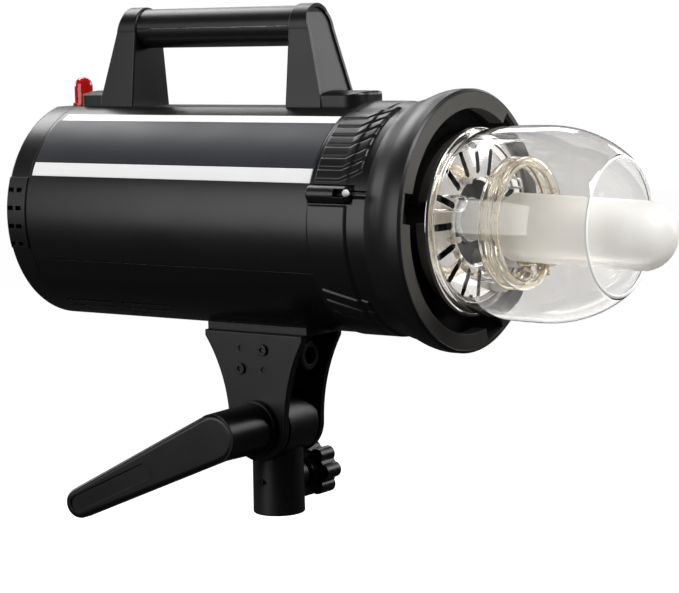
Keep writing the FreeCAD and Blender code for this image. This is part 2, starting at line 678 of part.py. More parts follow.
def reflector():
    outline = [
        (118.6, 51.7), (139.0, 51.7), (140.4, 51.0), (140.4, 50.0), (138.2, 48.8), (138.2, 48.0),
        (140.6, 47.4), (140.8, 44.0), (139.2, 41.5), (140.6, 30.0), (140.6, 24.2), (139.2, 22.7),
        (138.0, 22.7), (139.4, 24.6), (139.4, 30.0), (138.0, 41.5), (139.4, 44.6), (139.2, 46.2),
        (137.0, 47.4), (137.0, 49.3), (138.6, 50.5), (118.6, 50.5),
    ]
    dish = turned(outline)
    slot_half = 1.9
    slot = block(130, 28.0, LAMP_Z - slot_half, 145, 40.0, LAMP_Z + slot_half)
    for y in (28.0, 40.0):
        slot = slot.fuse(rod(130, y, LAMP_Z, AXIS_X, 15, slot_half))
    for i in range(16):
        angle = 180 + 22.5 * i
        near_socket = any(abs((angle - a + 180) % 360 - 180) < 12 for a in SOCKET_ANGLES)
        if not near_socket:
            dish = dish.cut(about_lamp(slot, angle))
    for y, z in tube_socket_places():
        dish = dish.cut(rod(130, y, z, AXIS_X, 15, 5.3))
    for y, z in reflector_screw_places():
        dish = dish.cut(rod(130, y, z, AXIS_X, 15, 0.9))
    for angle in CLIP_ANGLES:
        for offset in (-CLIP_HALF, CLIP_HALF):
            leg = rod(130, CLIP_RADIUS, LAMP_Z + offset, AXIS_X, 15, CLIP_WIRE_R + 0.05)
            dish = dish.cut(about_lamp(leg, angle))
    return dish


def tube_socket_places():
    return [polar(TUBE_SOCKET_R, a) for a in SOCKET_ANGLES]


def reflector_screw_places():
    return [polar(42.2, a) for a in (99.0, -96.0, 2.0)]


CLIP_ANGLES = (158.0, 38.0, -82.0)
CLIP_RADIUS = 32.4
CLIP_HALF = 4.0
CLIP_WIRE_R = 0.8


def reflector_screws():
    screws = []
    for y, z in reflector_screw_places():
        screws.append(rod(140.85, y, z, AXIS_X, 1.0, 1.8).fuse(rod(133, y, z, AXIS_X, 8, 0.9)))
    return group(screws)


def tube_clips():
    """Wire loops that stand up from the dish and steady the ring tube."""
    start_x = 134.0
    bend_x = 147.5
    clips = []
    for angle in CLIP_ANGLES:
        legs = [V(start_x, CLIP_RADIUS, LAMP_Z - CLIP_HALF), V(bend_x, CLIP_RADIUS, LAMP_Z - CLIP_HALF),
                V(bend_x + CLIP_HALF, CLIP_RADIUS, LAMP_Z), V(bend_x, CLIP_RADIUS, LAMP_Z + CLIP_HALF),
                V(start_x, CLIP_RADIUS, LAMP_Z + CLIP_HALF)]
        path = Part.Wire([line(legs[0], legs[1]), arc(legs[1], legs[2], legs[3]), line(legs[3], legs[4])])
        section = Part.Wire(Part.Circle(legs[0], AXIS_X, CLIP_WIRE_R).toShape())
        clips.append(about_lamp(path.makePipeShell([section], True, False), angle))
    return group(clips)


def dome_curve(offset, x0):
    """The glass outline, offset inwards: a swelling base and an elliptic front."""
    base = [(x0, 46.6), (144.5, 49.3), (151, 51.1), (164, 52.3)]
    points = [V(x, 0, LAMP_Z + r - offset) for x, r in base]
    crown_x = FACE_X + 48.0
    half_length = (DOME_HOLE_X - crown_x) / math.sqrt(1 - (DOME_HOLE_R / DOME_R) ** 2)
    for share in (0.0, 0.3, 0.6, 0.8, 0.92, 1.0):
        x = crown_x + share * (DOME_HOLE_X - crown_x)
        r = DOME_R * math.sqrt(1 - ((x - crown_x) / half_length) ** 2)
        normal_x = (x - crown_x) / half_length * DOME_R / half_length
        normal_r = r / DOME_R
        size = math.hypot(normal_x, normal_r)
        points.append(V(x - offset * normal_x / size, 0, LAMP_Z + r - offset * normal_r / size))
    curve = Part.BSplineCurve()
    curve.interpolate(points)
    return curve.toShape(), points[0], points[-1]


def glass_dome():
    outer, outer_start, outer_end = dome_curve(0.0, 141.0)
    inner, inner_start, inner_end = dome_curve(GLASS_T, 141.0)
    wire = Part.Wire([outer, line(outer_end, inner_end), inner, line(inner_start, outer_start)])
    return Part.Face(wire).revolve(V(0, 0, LAMP_Z), AXIS_X, 360)


def lamp_holder():
    outline = [(98, 0.001), (98, 16), (104, 19), (132, 19), (132, 13.6), (104, 13.6), (104, 0.001)]
    return turned(outline, NECK_Z)


def lamp_cap():
    outline = [
        (105, 0.001), (105, 5), (107.5, 9), (109, 13.0), (134.2, 13.0), (136.2, 12.0), (136.2, 11.35),
        (133, 11.35), (133, 12.0), (110, 12.0), (109, 8), (107, 0.001),
    ]
    return turned(outline, NECK_Z)


def lamp_body(r, back_x, tip_x):
    """A closed bulb with a round shoulder and a round tip, leaning down a little."""
    shoulder = 5.5
    dome_x = tip_x - r
    low = LAMP_BACK_Z
    side = math.sqrt(0.5)
    edges = [
        line(V(back_x, 0, low), V(back_x, 0, low + r - shoulder)),
        arc(V(back_x, 0, low + r - shoulder),
            V(back_x + shoulder * (1 - side), 0, low + r - shoulder * (1 - side)),
            V(back_x + shoulder, 0, low + r)),
        line(V(back_x + shoulder, 0, low + r), V(dome_x, 0, low + r)),
        arc(V(dome_x, 0, low + r), V(dome_x + r * side, 0, low + r * side), V(tip_x, 0, low)),
        line(V(tip_x, 0, low), V(back_x, 0, low)),
    ]
    body = Part.Face(Part.Wire(edges)).revolve(V(0, 0, low), AXIS_X, 360)
    body.rotate(V(SHOULDER_X, 0, low), AXIS_Y, LAMP_DROOP)
    return body


def lamp_glass():
    wall = 1.2
    outside = lamp_body(LAMP_R, SHOULDER_X, LAMP_TIP_X)
    inside = lamp_body(LAMP_R - wall, SHOULDER_X + wall, LAMP_TIP_X - wall)
    neck = rod(133.5, 0, NECK_Z, AXIS_X, NECK_END_X - 133.5, NECK_R)
    bore = rod(133, 0, NECK_Z, AXIS_X, NECK_END_X - wall - 133, NECK_R - wall)
    return outside.cut(inside).fuse(neck).cut(bore)


def flash_tube():
    """Two ring-shaped turns with a gap, a bridge between them and two legs down to the sockets."""
    start = RING_GAP_MID + RING_GAP_HALF
    sweep = 360 - 2 * RING_GAP_HALF
    shapes = []
    for x in RING_X:
        circle = Part.Face(Part.Wire(Part.Circle(V(x, RING_R, LAMP_Z), AXIS_Z, TUBE_R).toShape()))
        shapes.append(about_lamp(circle.revolve(V(0, 0, LAMP_Z), AXIS_X, sweep), start))
    low_y, low_z = polar(RING_R, start)
    high_y, high_z = polar(RING_R, RING_GAP_MID - RING_GAP_HALF)
    ends = [V(RING_X[0], high_y, high_z), V(RING_X[1], low_y, low_z)]
    for end, (y, z) in zip(ends, tube_socket_places()):
        foot = V(147.0, y, z)
        leg_r = TUBE_R - 0.4
        shapes += [Part.makeSphere(TUBE_R, end), between(end, foot, leg_r), Part.makeSphere(leg_r, foot)]
    bridge_from = V(RING_X[1], high_y, high_z)
    bridge_to = V(RING_X[0], low_y, low_z)
    shapes += [Part.makeSphere(TUBE_R, bridge_from), Part.makeSphere(TUBE_R, bridge_to)]
    return fuse(shapes)


def tube_sockets():
    sockets = []
    for y, z in tube_socket_places():
        body = rod(119, y, z, AXIS_X, 28, 5.0)
        sockets.append(body.cut(rod(144.2, y, z, AXIS_X, 10, TUBE_R + 0.6)))
    return group(sockets)


def trigger_wire():
    """A thin wire round the outside of the ring tube."""
    x = (RING_X[0] + RING_X[1]) / 2
    circle = Part.Face(Part.Wire(Part.Circle(V(x, RING_R + 1.8, LAMP_Z), AXIS_Z, 0.5).toShape()))
    return about_lamp(circle.revolve(V(0, 0, LAMP_Z), AXIS_X, 330), RING_GAP_MID + 15)


# ---------------------------------------------------------------- inside

def capacitors():
    cans = []
    for y in (-19.0, 19.0):
        for z in (150.0, 188.0):
            can = rod(-60, y, z, AXIS_X, 82, 17)
            terminals = [rod(22, y + dy, z, AXIS_X, 5, 2.5) for dy in (-7, 7)]
            cans.append(fuse([can] + terminals))
    return group(cans)


def power_board():
    board = block(-88, -38, 214, 40, 38, 215.6)
    choke = block(-80, -30, 215.6, -55, -10, 222)
    relay = block(-45, -20, 215.6, -10, 15, 221)
    heat_sink = block(0, -25, 215.6, 22, 25, 219)
    return fuse([board, choke, relay, heat_sink])


def control_board():
    return block(-129.5, -40, 150, -127.9, 40, 208)


def transformer():
    core = block(34, -20, 128, 62, 20, 158)
    coil = rod(31, 0, 143, AXIS_X, 34, 12)
    return core.fuse(coil)


FAN_X = -112.0
FAN_HALF = 35.0
FAN_T = 15.0


def fan_frame():
    frame = block(FAN_X, -FAN_HALF, LAMP_Z - FAN_HALF, FAN_X + FAN_T, FAN_HALF, LAMP_Z + FAN_HALF)
    frame = frame.cut(rod(FAN_X - 1, 0, LAMP_Z, AXIS_X, FAN_T + 2, FAN_HALF - 2.2))
    spoke = block(FAN_X, -1.5, LAMP_Z - FAN_HALF + 1, FAN_X + 1.6, 1.5, LAMP_Z + FAN_HALF - 1)
    spokes = [about_lamp(spoke, angle) for angle in (0, 60, 120)]
    spider = fuse(spokes + [rod(FAN_X, 0, LAMP_Z, AXIS_X, 1.6, 11)])
    return frame.fuse(spider).fuse(rod(FAN_X, 0, LAMP_Z, AXIS_X, 7, 2.0))


def fan_rotor():
    hub = rod(FAN_X + 2.2, 0, LAMP_Z, AXIS_X, 11.5, 12)
    blade = block(-5.2, 11, -0.6, 5.2, FAN_HALF - 3.4, 0.6)
    blade.rotate(V(0, 0, 0), AXIS_Y, 38)
    blade.translate(V(FAN_X + 8, 0, LAMP_Z))
    blades = [about_lamp(blade, 360 / 7 * i) for i in range(7)]
    rotor = fuse([hub] + blades)
    return rotor.cut(rod(FAN_X + 1, 0, LAMP_Z, AXIS_X, 6.4, 2.0 + RUNNING))


# ---------------------------------------------------------------- back

WINDOW = (-24.0, 188.0, 24.0, 210.0)          # y and z corners
DIAL = (-22.0, 163.0)
BUTTONS = {"test": (8.0, 168.0), "mode": (28.0, 168.0)}
BUTTON_HALF = (6.0, 3.8)
SWITCH = (-23.0, 136.0)
SWITCH_HALF = (9.5, 6.5)
INLET = (11.0, 135.0)
INLET_HALF = (14.0, 10.5)
SYNC_JACK = (34.0, 150.0)
REAR_SCREW_RADIUS = 54.5
REAR_SCREW_ANGLES = (40.0, 140.0, 223.0, -43.0)


def rear_bezel():
    outer = casing_section(REAR_X, BEZEL_FRONT_X, BODY_R, FLAT_H)
    outer = rounded(outer, [e for e in outer.Edges if e.BoundBox.XMax < REAR_X + 0.1], 2.0)
    pads = rod(REAR_X + 1.5, 0, LAMP_Z, AXIS_X, BEZEL_FRONT_X - REAR_X - 1.6, BODY_R + 1.0)
    pads = pads.common(block(-200, -80, LAMP_Z - 19.5, 0, 80, LAMP_Z + 22.3))
    bezel = outer.fuse(pads)
    bezel = bezel.cut(rod(REAR_X - 1, 0, LAMP_Z, AXIS_X, 30, 60.2))
    for h in (15.0, 4.4, -6.4, -17.0):
        for x0, x1 in ((-146.0, -141.6), (-139.8, -135.6)):
            bezel = bezel.cut(block(x0, -80, LAMP_Z + h - 1.2, x1, -60.5, LAMP_Z + h + 1.2))
            bezel = bezel.cut(block(x0, 60.5, LAMP_Z + h - 1.2, x1, 80, LAMP_Z + h + 1.2))
    lip = pipe(PANEL_X + 2.6, 0, LAMP_Z, AXIS_X, 2, 60.3, 57)
    return bezel.fuse(lip).cut(rear_screw_holes())


def rear_screw_holes():
    holes = [rod(REAR_X, y, z, AXIS_X, 30, 1.5) for y, z in rear_screw_places()]
    return fuse(holes)


def rear_screw_places():
    return [polar(REAR_SCREW_RADIUS, a) for a in REAR_SCREW_ANGLES]


def rear_panel():
    panel = rod(PANEL_X, 0, LAMP_Z, AXIS_X, 2.5, 60.1)
    y, z = DIAL
    panel = panel.cut(rod(PANEL_X - 1, y, z, AXIS_X, 5, 3.0 + RUNNING))
    for y, z in BUTTONS.values():
        hy = BUTTON_HALF[0] + 0.4
        hz = BUTTON_HALF[1] + 0.4
        panel = panel.cut(block(PANEL_X - 1, y - hy, z - hz, PANEL_X + 4, y + hy, z + hz))
    for (y, z), (hy, hz) in ((SWITCH, SWITCH_HALF), (INLET, INLET_HALF)):
        panel = panel.cut(block(PANEL_X - 1, y - hy, z - hz, PANEL_X + 4, y + hy, z + hz))
    y, z = SYNC_JACK
    panel = panel.cut(rod(PANEL_X - 1, y, z, AXIS_X, 5, 4.0))
    return panel.cut(rear_screw_holes())


def display_window():
    y0, z0, y1, z1 = WINDOW
    return block(PANEL_X - 1.2, y0, z0, PANEL_X, y1, z1)


def control_dial():
    y, z = DIAL
    cap = rod(PANEL_X - 8.6, y, z, AXIS_X, 8.2, 11)
    for i in range(24):
        a = math.radians(15 * i)
        cap = cap.cut(rod(PANEL_X - 9, y + 11.3 * math.cos(a), z + 11.3 * math.sin(a), AXIS_X, 7.5, 0.7))
    return cap.fuse(rod(PANEL_X - 1, y, z, AXIS_X, 7, 3.0))


def button(name):
    y, z = BUTTONS[name]
    hy, hz = BUTTON_HALF
    cap = block(PANEL_X - 3.4, y - hy, z - hz, PANEL_X + 3.6, y + hy, z + hz)
    front = [e for e in cap.Edges if e.BoundBox.XMax < PANEL_X - 3.3]
    return rounded(cap, front, 0.8)


def switch_frame():
    y, z = SWITCH
    hy, hz = SWITCH_HALF
    body = block(PANEL_X, y - hy, z - hz, PANEL_X + 13, y + hy, z + hz)
    flange = block(PANEL_X - 1.2, y - hy - 1.5, z - hz - 1.5, PANEL_X, y + hy + 1.5, z + hz + 1.5)
    well = block(PANEL_X - 2, y - hy + 1.2, z - hz + 1.2, PANEL_X + 11, y + hy - 1.2, z + hz - 1.2)
    return body.fuse(flange).cut(well)


def power_rocker():
    y, z = SWITCH
    hy = SWITCH_HALF[0] - 1.6
    hz = SWITCH_HALF[1] - 2.0
    corners = [
        (PANEL_X - 3.6, z - hz), (PANEL_X - 1.2, z), (PANEL_X - 2.2, z + hz),
        (PANEL_X + 3.5, z + hz - 0.8), (PANEL_X + 5.0, z), (PANEL_X + 3.5, z - hz + 0.8),
    ]
    return flat_prism(corners, y - hy, y + hy)


def mains_inlet():
    y, z = INLET
    hy, hz = INLET_HALF
    body = block(PANEL_X, y - hy, z - hz, PANEL_X + 18, y + hy, z + hz)
    flange = block(PANEL_X - 1.8, y - hy - 2, z - hz - 2, PANEL_X, y + hy + 2, z + hz + 2)
    well = block(PANEL_X - 3, y - hy + 1.8, z - hz + 1.8, PANEL_X + 15, y + hy - 1.8, z + hz - 1.8)
    inlet = body.fuse(flange).cut(well)
    pins = [block(PANEL_X + 2, y + dy - 1, z + dz - 2, PANEL_X + 16, y + dy + 1, z + dz + 2)
            for dy, dz in ((-7, -2), (0, 2), (7, -2))]
    return fuse([inlet] + pins)


def sync_jack():
    y, z = SYNC_JACK
    nut = rod(PANEL_X - 2, y, z, AXIS_X, 2, 5.5)
    body = nut.fuse(rod(PANEL_X, y, z, AXIS_X, 11, 4.0))
    return body.cut(rod(PANEL_X - 3, y, z, AXIS_X, 12, 1.8))


def rear_screws():
    screws = []
    for y, z in rear_screw_places():
        head = rod(PANEL_X - 1.4, y, z, AXIS_X, 1.4, 2.8)
        screws.append(head.fuse(rod(PANEL_X, y, z, AXIS_X, 4.4, 1.5)))
    return group(screws)


def slave_dome():
    x = -141.0
    base = rod(x, 0, TOP_Z, AXIS_Z, 1.5, 6.6)
    stem = rod(x, 0, TOP_Z, AXIS_Z, 11.6, 5.5)
    return fuse([base, stem, Part.makeSphere(5.5, V(x, 0, TOP_Z + 11.6))])


NODES = {
    "stand_socket": stand_socket, "lock_screw_bush": lock_screw_bush,
    "socket_grub_screw": socket_grub_screw, "stand_lock_screw": stand_lock_screw,
    "stand_lock_knob": stand_lock_knob,
    "bracket_plate_left": lambda: bracket_plate(-1), "bracket_plate_right": lambda: bracket_plate(1),
    "bracket_core": bracket_core, "bracket_screws": bracket_screws, "friction_washers": friction_washers,
    "tilt_bolt": tilt_bolt, "tilt_lever": tilt_lever, "lever_insert": lever_insert,
    "umbrella_lock_screw": umbrella_lock_screw, "umbrella_lock_knob": umbrella_lock_knob,
    "shell_upper": shell_upper, "shell_lower": shell_lower, "label_panels": label_panels,
    "label_stripes": label_stripes, "chassis_rail": chassis_rail,
    "handle_post_front": handle_post_front, "handle_post_rear": handle_post_rear,
    "handle_grip": handle_grip, "handle_rod": handle_rod, "handle_screws": handle_screws,
    "front_housing": front_housing, "bell_collar": bell_collar, "bayonet_ring": bayonet_ring,
    "release_barrel": release_barrel, "lock_pin": lock_pin, "pin_spring": pin_spring,
    "front_bulkhead": front_bulkhead, "reflector": reflector, "reflector_screws": reflector_screws,
    "tube_clips": tube_clips, "glass_dome": glass_dome, "lamp_holder": lamp_holder, "lamp_cap": lamp_cap,
    "lamp_glass": lamp_glass, "flash_tube": flash_tube, "tube_sockets": tube_sockets,
    "trigger_wire": trigger_wire,
    "capacitors": capacitors, "power_board": power_board, "control_board": control_board,
    "transformer": transformer, "fan_frame": fan_frame, "fan_rotor": fan_rotor,
    "rear_bezel": rear_bezel, "rear_panel": rear_panel, "display_window": display_window,
    "control_dial": control_dial,
    "button_test": lambda: button("test"), "button_mode": lambda: button("mode"),
    "switch_frame": switch_frame, "power_rocker": power_rocker, "mains_inlet": mains_inlet,
    "sync_jack": sync_jack, "rear_screws": rear_screws, "slave_dome": slave_dome,
}

os.makedirs("parts", exist_ok=True)
for node, make in NODES.items():
    shape = make()
    print(f"{node}: {len(shape.Solids)} solids, {shape.Volume:.0f} mm3, valid {shape.isValid()}")
    shape.exportStep(f"parts/{node}.step")
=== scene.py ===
import bmesh
import bpy
import json
import math
from mathutils import Matrix, Vector, noise


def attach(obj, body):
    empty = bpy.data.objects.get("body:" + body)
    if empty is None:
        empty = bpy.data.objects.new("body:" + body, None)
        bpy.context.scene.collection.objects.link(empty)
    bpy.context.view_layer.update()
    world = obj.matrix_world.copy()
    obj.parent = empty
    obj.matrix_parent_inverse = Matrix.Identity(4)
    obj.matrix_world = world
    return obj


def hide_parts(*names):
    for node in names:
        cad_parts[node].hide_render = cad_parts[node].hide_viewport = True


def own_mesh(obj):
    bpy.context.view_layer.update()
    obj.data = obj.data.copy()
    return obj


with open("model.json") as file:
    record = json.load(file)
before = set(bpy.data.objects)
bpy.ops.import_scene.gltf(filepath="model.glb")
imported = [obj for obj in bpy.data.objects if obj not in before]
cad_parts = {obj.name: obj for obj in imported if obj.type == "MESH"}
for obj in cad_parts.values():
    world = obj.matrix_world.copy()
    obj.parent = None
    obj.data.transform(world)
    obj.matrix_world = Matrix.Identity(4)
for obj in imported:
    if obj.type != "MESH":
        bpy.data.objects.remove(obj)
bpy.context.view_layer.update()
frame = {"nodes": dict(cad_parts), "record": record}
NODE = frame["nodes"]
MM = 0.001

# ------------------------------------------------------------ the CAD's own stations
# Millimetres and degrees, but for LAMP_Z, which is in metres.

LAMP_Z = 0.175                   # height of the lamp's axis
PANEL_X = -141.0                 # back face of the rear panel
BARREL_ANGLE = 163.7             # where the accessory catch sits round the housing
BARREL_RADIUS = 64.2             # its distance from the lamp's axis
RING_R = 33.3                    # flash tube ring
SOCKET_ANGLES = (-65.0, -37.0)   # flash tube sockets


# ------------------------------------------------------------ camera

def place_camera():
    """The photograph's viewpoint, direction and field of view."""
    data = bpy.data.cameras.new("camera")
    data.sensor_fit = "HORIZONTAL"
    data.sensor_width = 36.0
    data.lens = 121.18
    data.clip_start = 0.05
    data.clip_end = 60
    camera = bpy.data.objects.new("camera", data)
    right = Vector((0.817, 0.576, -0.0217)).normalized()
    back = Vector((0.5743, -0.8099, 0.1198)).normalized()
    up = back.cross(right).normalized()
    right = up.cross(back).normalized()
    spin = Matrix((right, up, back)).transposed().to_4x4()
    camera.matrix_world = Matrix.Translation((0.7920, -1.0513, 0.2848)) @ spin
    bpy.context.scene.collection.objects.link(camera)
    bpy.context.scene.camera = camera


# ------------------------------------------------------------ material building blocks

WHITE = (1, 1, 1, 1)


def rgba(color, gain=1.0, lift=0.0):
    """A shader colour from three channels, each scaled, lifted and held at 1."""
    return tuple(min(1.0, c * gain + lift) for c in color) + (1.0,)


class Shade:
    """A node material with a principled shader and short ways to wire textures into it."""

    def __init__(self, name, color, rough, metallic=0.0, spec=0.5):
        self.name = name
        self.material = bpy.data.materials.new(name)
        self.material.use_nodes = True
        self.tree = self.material.node_tree
        self.nodes = self.tree.nodes
        self.bsdf = next(n for n in self.nodes if n.type == "BSDF_PRINCIPLED")
        self.set("Base Color", rgba(color))
        self.set("Roughness", rough)
        self.set("Metallic", metallic)
        self.set("Specular IOR Level", spec)
        self.coords = self.nodes.new("ShaderNodeTexCoord").outputs["Object"]

    def set(self, socket, value):
        self.bsdf.inputs[socket].default_value = value
        return self

    def glow(self, strength, color=WHITE):
        return self.set("Emission Color", color).set("Emission Strength", strength)

    def link(self, out, into):
        self.tree.links.new(out, into)

    def stretched(self, scale):
        node = self.nodes.new("ShaderNodeMapping")
        node.inputs["Scale"].default_value = scale
        self.link(self.coords, node.inputs["Vector"])
        return node.outputs["Vector"]

    def noise(self, scale, detail=4.0, rough=0.5, stretch=None):
        node = self.nodes.new("ShaderNodeTexNoise")
        node.inputs["Scale"].default_value = scale
        node.inputs["Detail"].default_value = detail
        node.inputs["Roughness"].default_value = rough
        self.link(self.stretched(stretch) if stretch else self.coords, node.inputs["Vector"])
        return node.outputs["Fac"]

    def remap(self, value, low, high, to_low, to_high):
        node = self.nodes.new("ShaderNodeMapRange")
        limits = {"From Min": low, "From Max": high, "To Min": to_low, "To Max": to_high}
        for key, number in limits.items():
            node.inputs[key].default_value = number
        self.link(value, node.inputs["Value"])
        return node.outputs["Result"]

    def math(self, kind, a, b):
        node = self.nodes.new("ShaderNodeMath")
        node.operation = kind
        for socket, value in zip(node.inputs, (a, b)):
            if isinstance(value, (int, float)):
                socket.default_value = value
            else:
                self.link(value, socket)
        return node.outputs["Value"]

    def mix(self, factor, a, b):
        node = self.nodes.new("ShaderNodeMix")
        node.data_type = "RGBA"
        self.link(factor, node.inputs["Factor"])
        for key, value in (("A", a), ("B", b)):
            socket = [s for s in node.inputs if s.name == key and s.type == "RGBA"][0]
            if isinstance(value, tuple):
                socket.default_value = value
            else:
                self.link(value, socket)
        return [s for s in node.outputs if s.type == "RGBA"][0]

    def soft_edges(self, radius=0.0005):
        node = self.nodes.new("ShaderNodeBevel")
        node.samples = 4
        node.inputs["Radius"].default_value = radius
        return node.outputs["Normal"]

    def edge_mask(self, radius=0.0008):
        """1 on sharp edges, 0 on open surfaces."""
        worn = self.soft_edges(radius)
        geometry = self.nodes.new("ShaderNodeNewGeometry")
        dot = self.nodes.new("ShaderNodeVectorMath")
        dot.operation = "DOT_PRODUCT"
        self.link(worn, dot.inputs[0])
        self.link(geometry.outputs["Normal"], dot.inputs[1])
        return self.remap(dot.outputs["Value"], 0.98, 0.80, 0.0, 1.0)

    def cavity(self, distance=0.003):
        """0 deep in grooves and joints, 1 on open surfaces."""
        node = self.nodes.new("ShaderNodeAmbientOcclusion")
        node.samples = 6
        node.inputs["Distance"].default_value = distance
        return self.remap(node.outputs["AO"], 0.30, 0.85, 0.0, 1.0)

    def bump(self, height, distance, strength=1.0, normal=None):
        node = self.nodes.new("ShaderNodeBump")
        node.inputs["Distance"].default_value = distance
        node.inputs["Strength"].default_value = strength
        self.link(height, node.inputs["Height"])
        if normal is not None:
            self.link(normal, node.inputs["Normal"])
        self.link(node.outputs["Normal"], self.bsdf.inputs["Normal"])
        return node.outputs["Normal"]

    def rings(self, scale, centre_z):
        """Bands at even radii round the lamp's axis."""
        split = self.nodes.new("ShaderNodeSeparateXYZ")
        self.link(self.coords, split.inputs[0])
        high = self.math("SUBTRACT", split.outputs["Z"], centre_z)
        square = self.math("ADD", self.math("MULTIPLY", split.outputs["Y"], split.outputs["Y"]),
                           self.math("MULTIPLY", high, high))
        radius = self.math("SQRT", square, 0.0)
        return self.math("SINE", self.math("MULTIPLY", radius, scale), 0.0)


def moulded(name, color, rough, grain=2600, depth=0.00002, spec=0.5, wear=0.5, spread=0.03):
    """Moulded plastic or coated metal: fine texture, faintly uneven sheen, soft worn edges, dull grooves
    darkened with painted shade.
    """
    s = Shade(name, color, rough, spec=spec)
    dust = s.noise(22, 5, 0.6)
    fine = s.noise(grain, 3, 0.6)
    hollow = s.cavity()
    sheen = s.remap(dust, 0.3, 0.7, rough - spread, rough + spread)
    s.link(s.math("ADD", sheen, s.remap(hollow, 0.0, 1.0, 0.25, 0.0)), s.bsdf.inputs["Roughness"])
    worn = s.remap(s.noise(160, 3), 0.42, 0.62, 0.0, wear)
    mask = s.math("MULTIPLY", s.math("MULTIPLY", s.edge_mask(), worn), hollow)
    patches = s.remap(s.noise(55, 6, 0.65), 0.3, 0.7, 0.0, 1.0)
    base = s.mix(patches, rgba(color, 0.95), rgba(color, 1.05))
    rubbed = s.mix(mask, base, rgba(color, 2.2, 0.035))
    # Painted shade: deep in grooves and joints the colour darkens to 0.35 of itself.
    s.link(s.mix(hollow, rgba(color, 0.35), rubbed), s.bsdf.inputs["Base Color"])
    s.bump(fine, depth, 1.0, s.soft_edges())
    return s


def metal(name, color, rough, stretch=None, depth=0.000004, spread=0.06, tarnish=0.85):
    """Bare or plated metal with fine marks and a little tarnish."""
    s = Shade(name, color, rough, metallic=1.0)
    marks = s.noise(900, 4, 0.7, stretch)
    s.link(s.remap(s.noise(60, 5, 0.6), 0.3, 0.7, max(0.02, rough - spread), rough + spread),
           s.bsdf.inputs["Roughness"])
    dull = s.remap(s.noise(130, 5, 0.7), 0.45, 0.7, 0.0, 1.0)
    s.link(s.mix(dull, rgba(color), rgba(color, tarnish)), s.bsdf.inputs["Base Color"])
    s.bump(marks, depth, 1.0, s.soft_edges(0.0003))
    return s


def glass(name, color):
    """Clear glass, here and there a little smeared."""
    s = Shade(name, color, 0.0)
    s.set("Transmission Weight", 1.0).set("IOR", 1.47)
    s.link(s.remap(s.noise(35, 4, 0.6), 0.52, 0.78, 0.0, 0.035), s.bsdf.inputs["Roughness"])
    s.bump(s.noise(18, 2, 0.4), 0.00012, 0.5)
    return s


def frosted_lamp(name, shades, rough, through, glow):
    """Warm white frosted glass; shades are (x, colour) stations along the lamp, whose darker stations are
    painted shade, and glow is painted light.
    """
    s = Shade(name, shades[0][1], rough)
    split = s.nodes.new("ShaderNodeSeparateXYZ")
    s.link(s.coords, split.inputs[0])
    tint = rgba(shades[0][1])
    for (x0, _), (x1, color) in zip(shades, shades[1:]):
        tint = s.mix(s.remap(split.outputs["X"], x0, x1, 0.0, 1.0), tint, rgba(color))
    cloud = s.remap(s.noise(60, 4, 0.5), 0.3, 0.7, 0.0, 0.25)
    s.link(s.mix(cloud, tint, (0.90, 0.88, 0.83, 1)), s.bsdf.inputs["Base Color"])
    s.link(s.remap(s.noise(40, 3), 0.3, 0.7, rough - 0.05, rough + 0.05), s.bsdf.inputs["Roughness"])
    s.set("Transmission Weight", through).set("IOR", 1.4)
    s.glow(glow, (1.0, 0.965, 0.90, 1))
    s.bump(s.noise(3200, 2), 0.000004, 0.6)
    return s


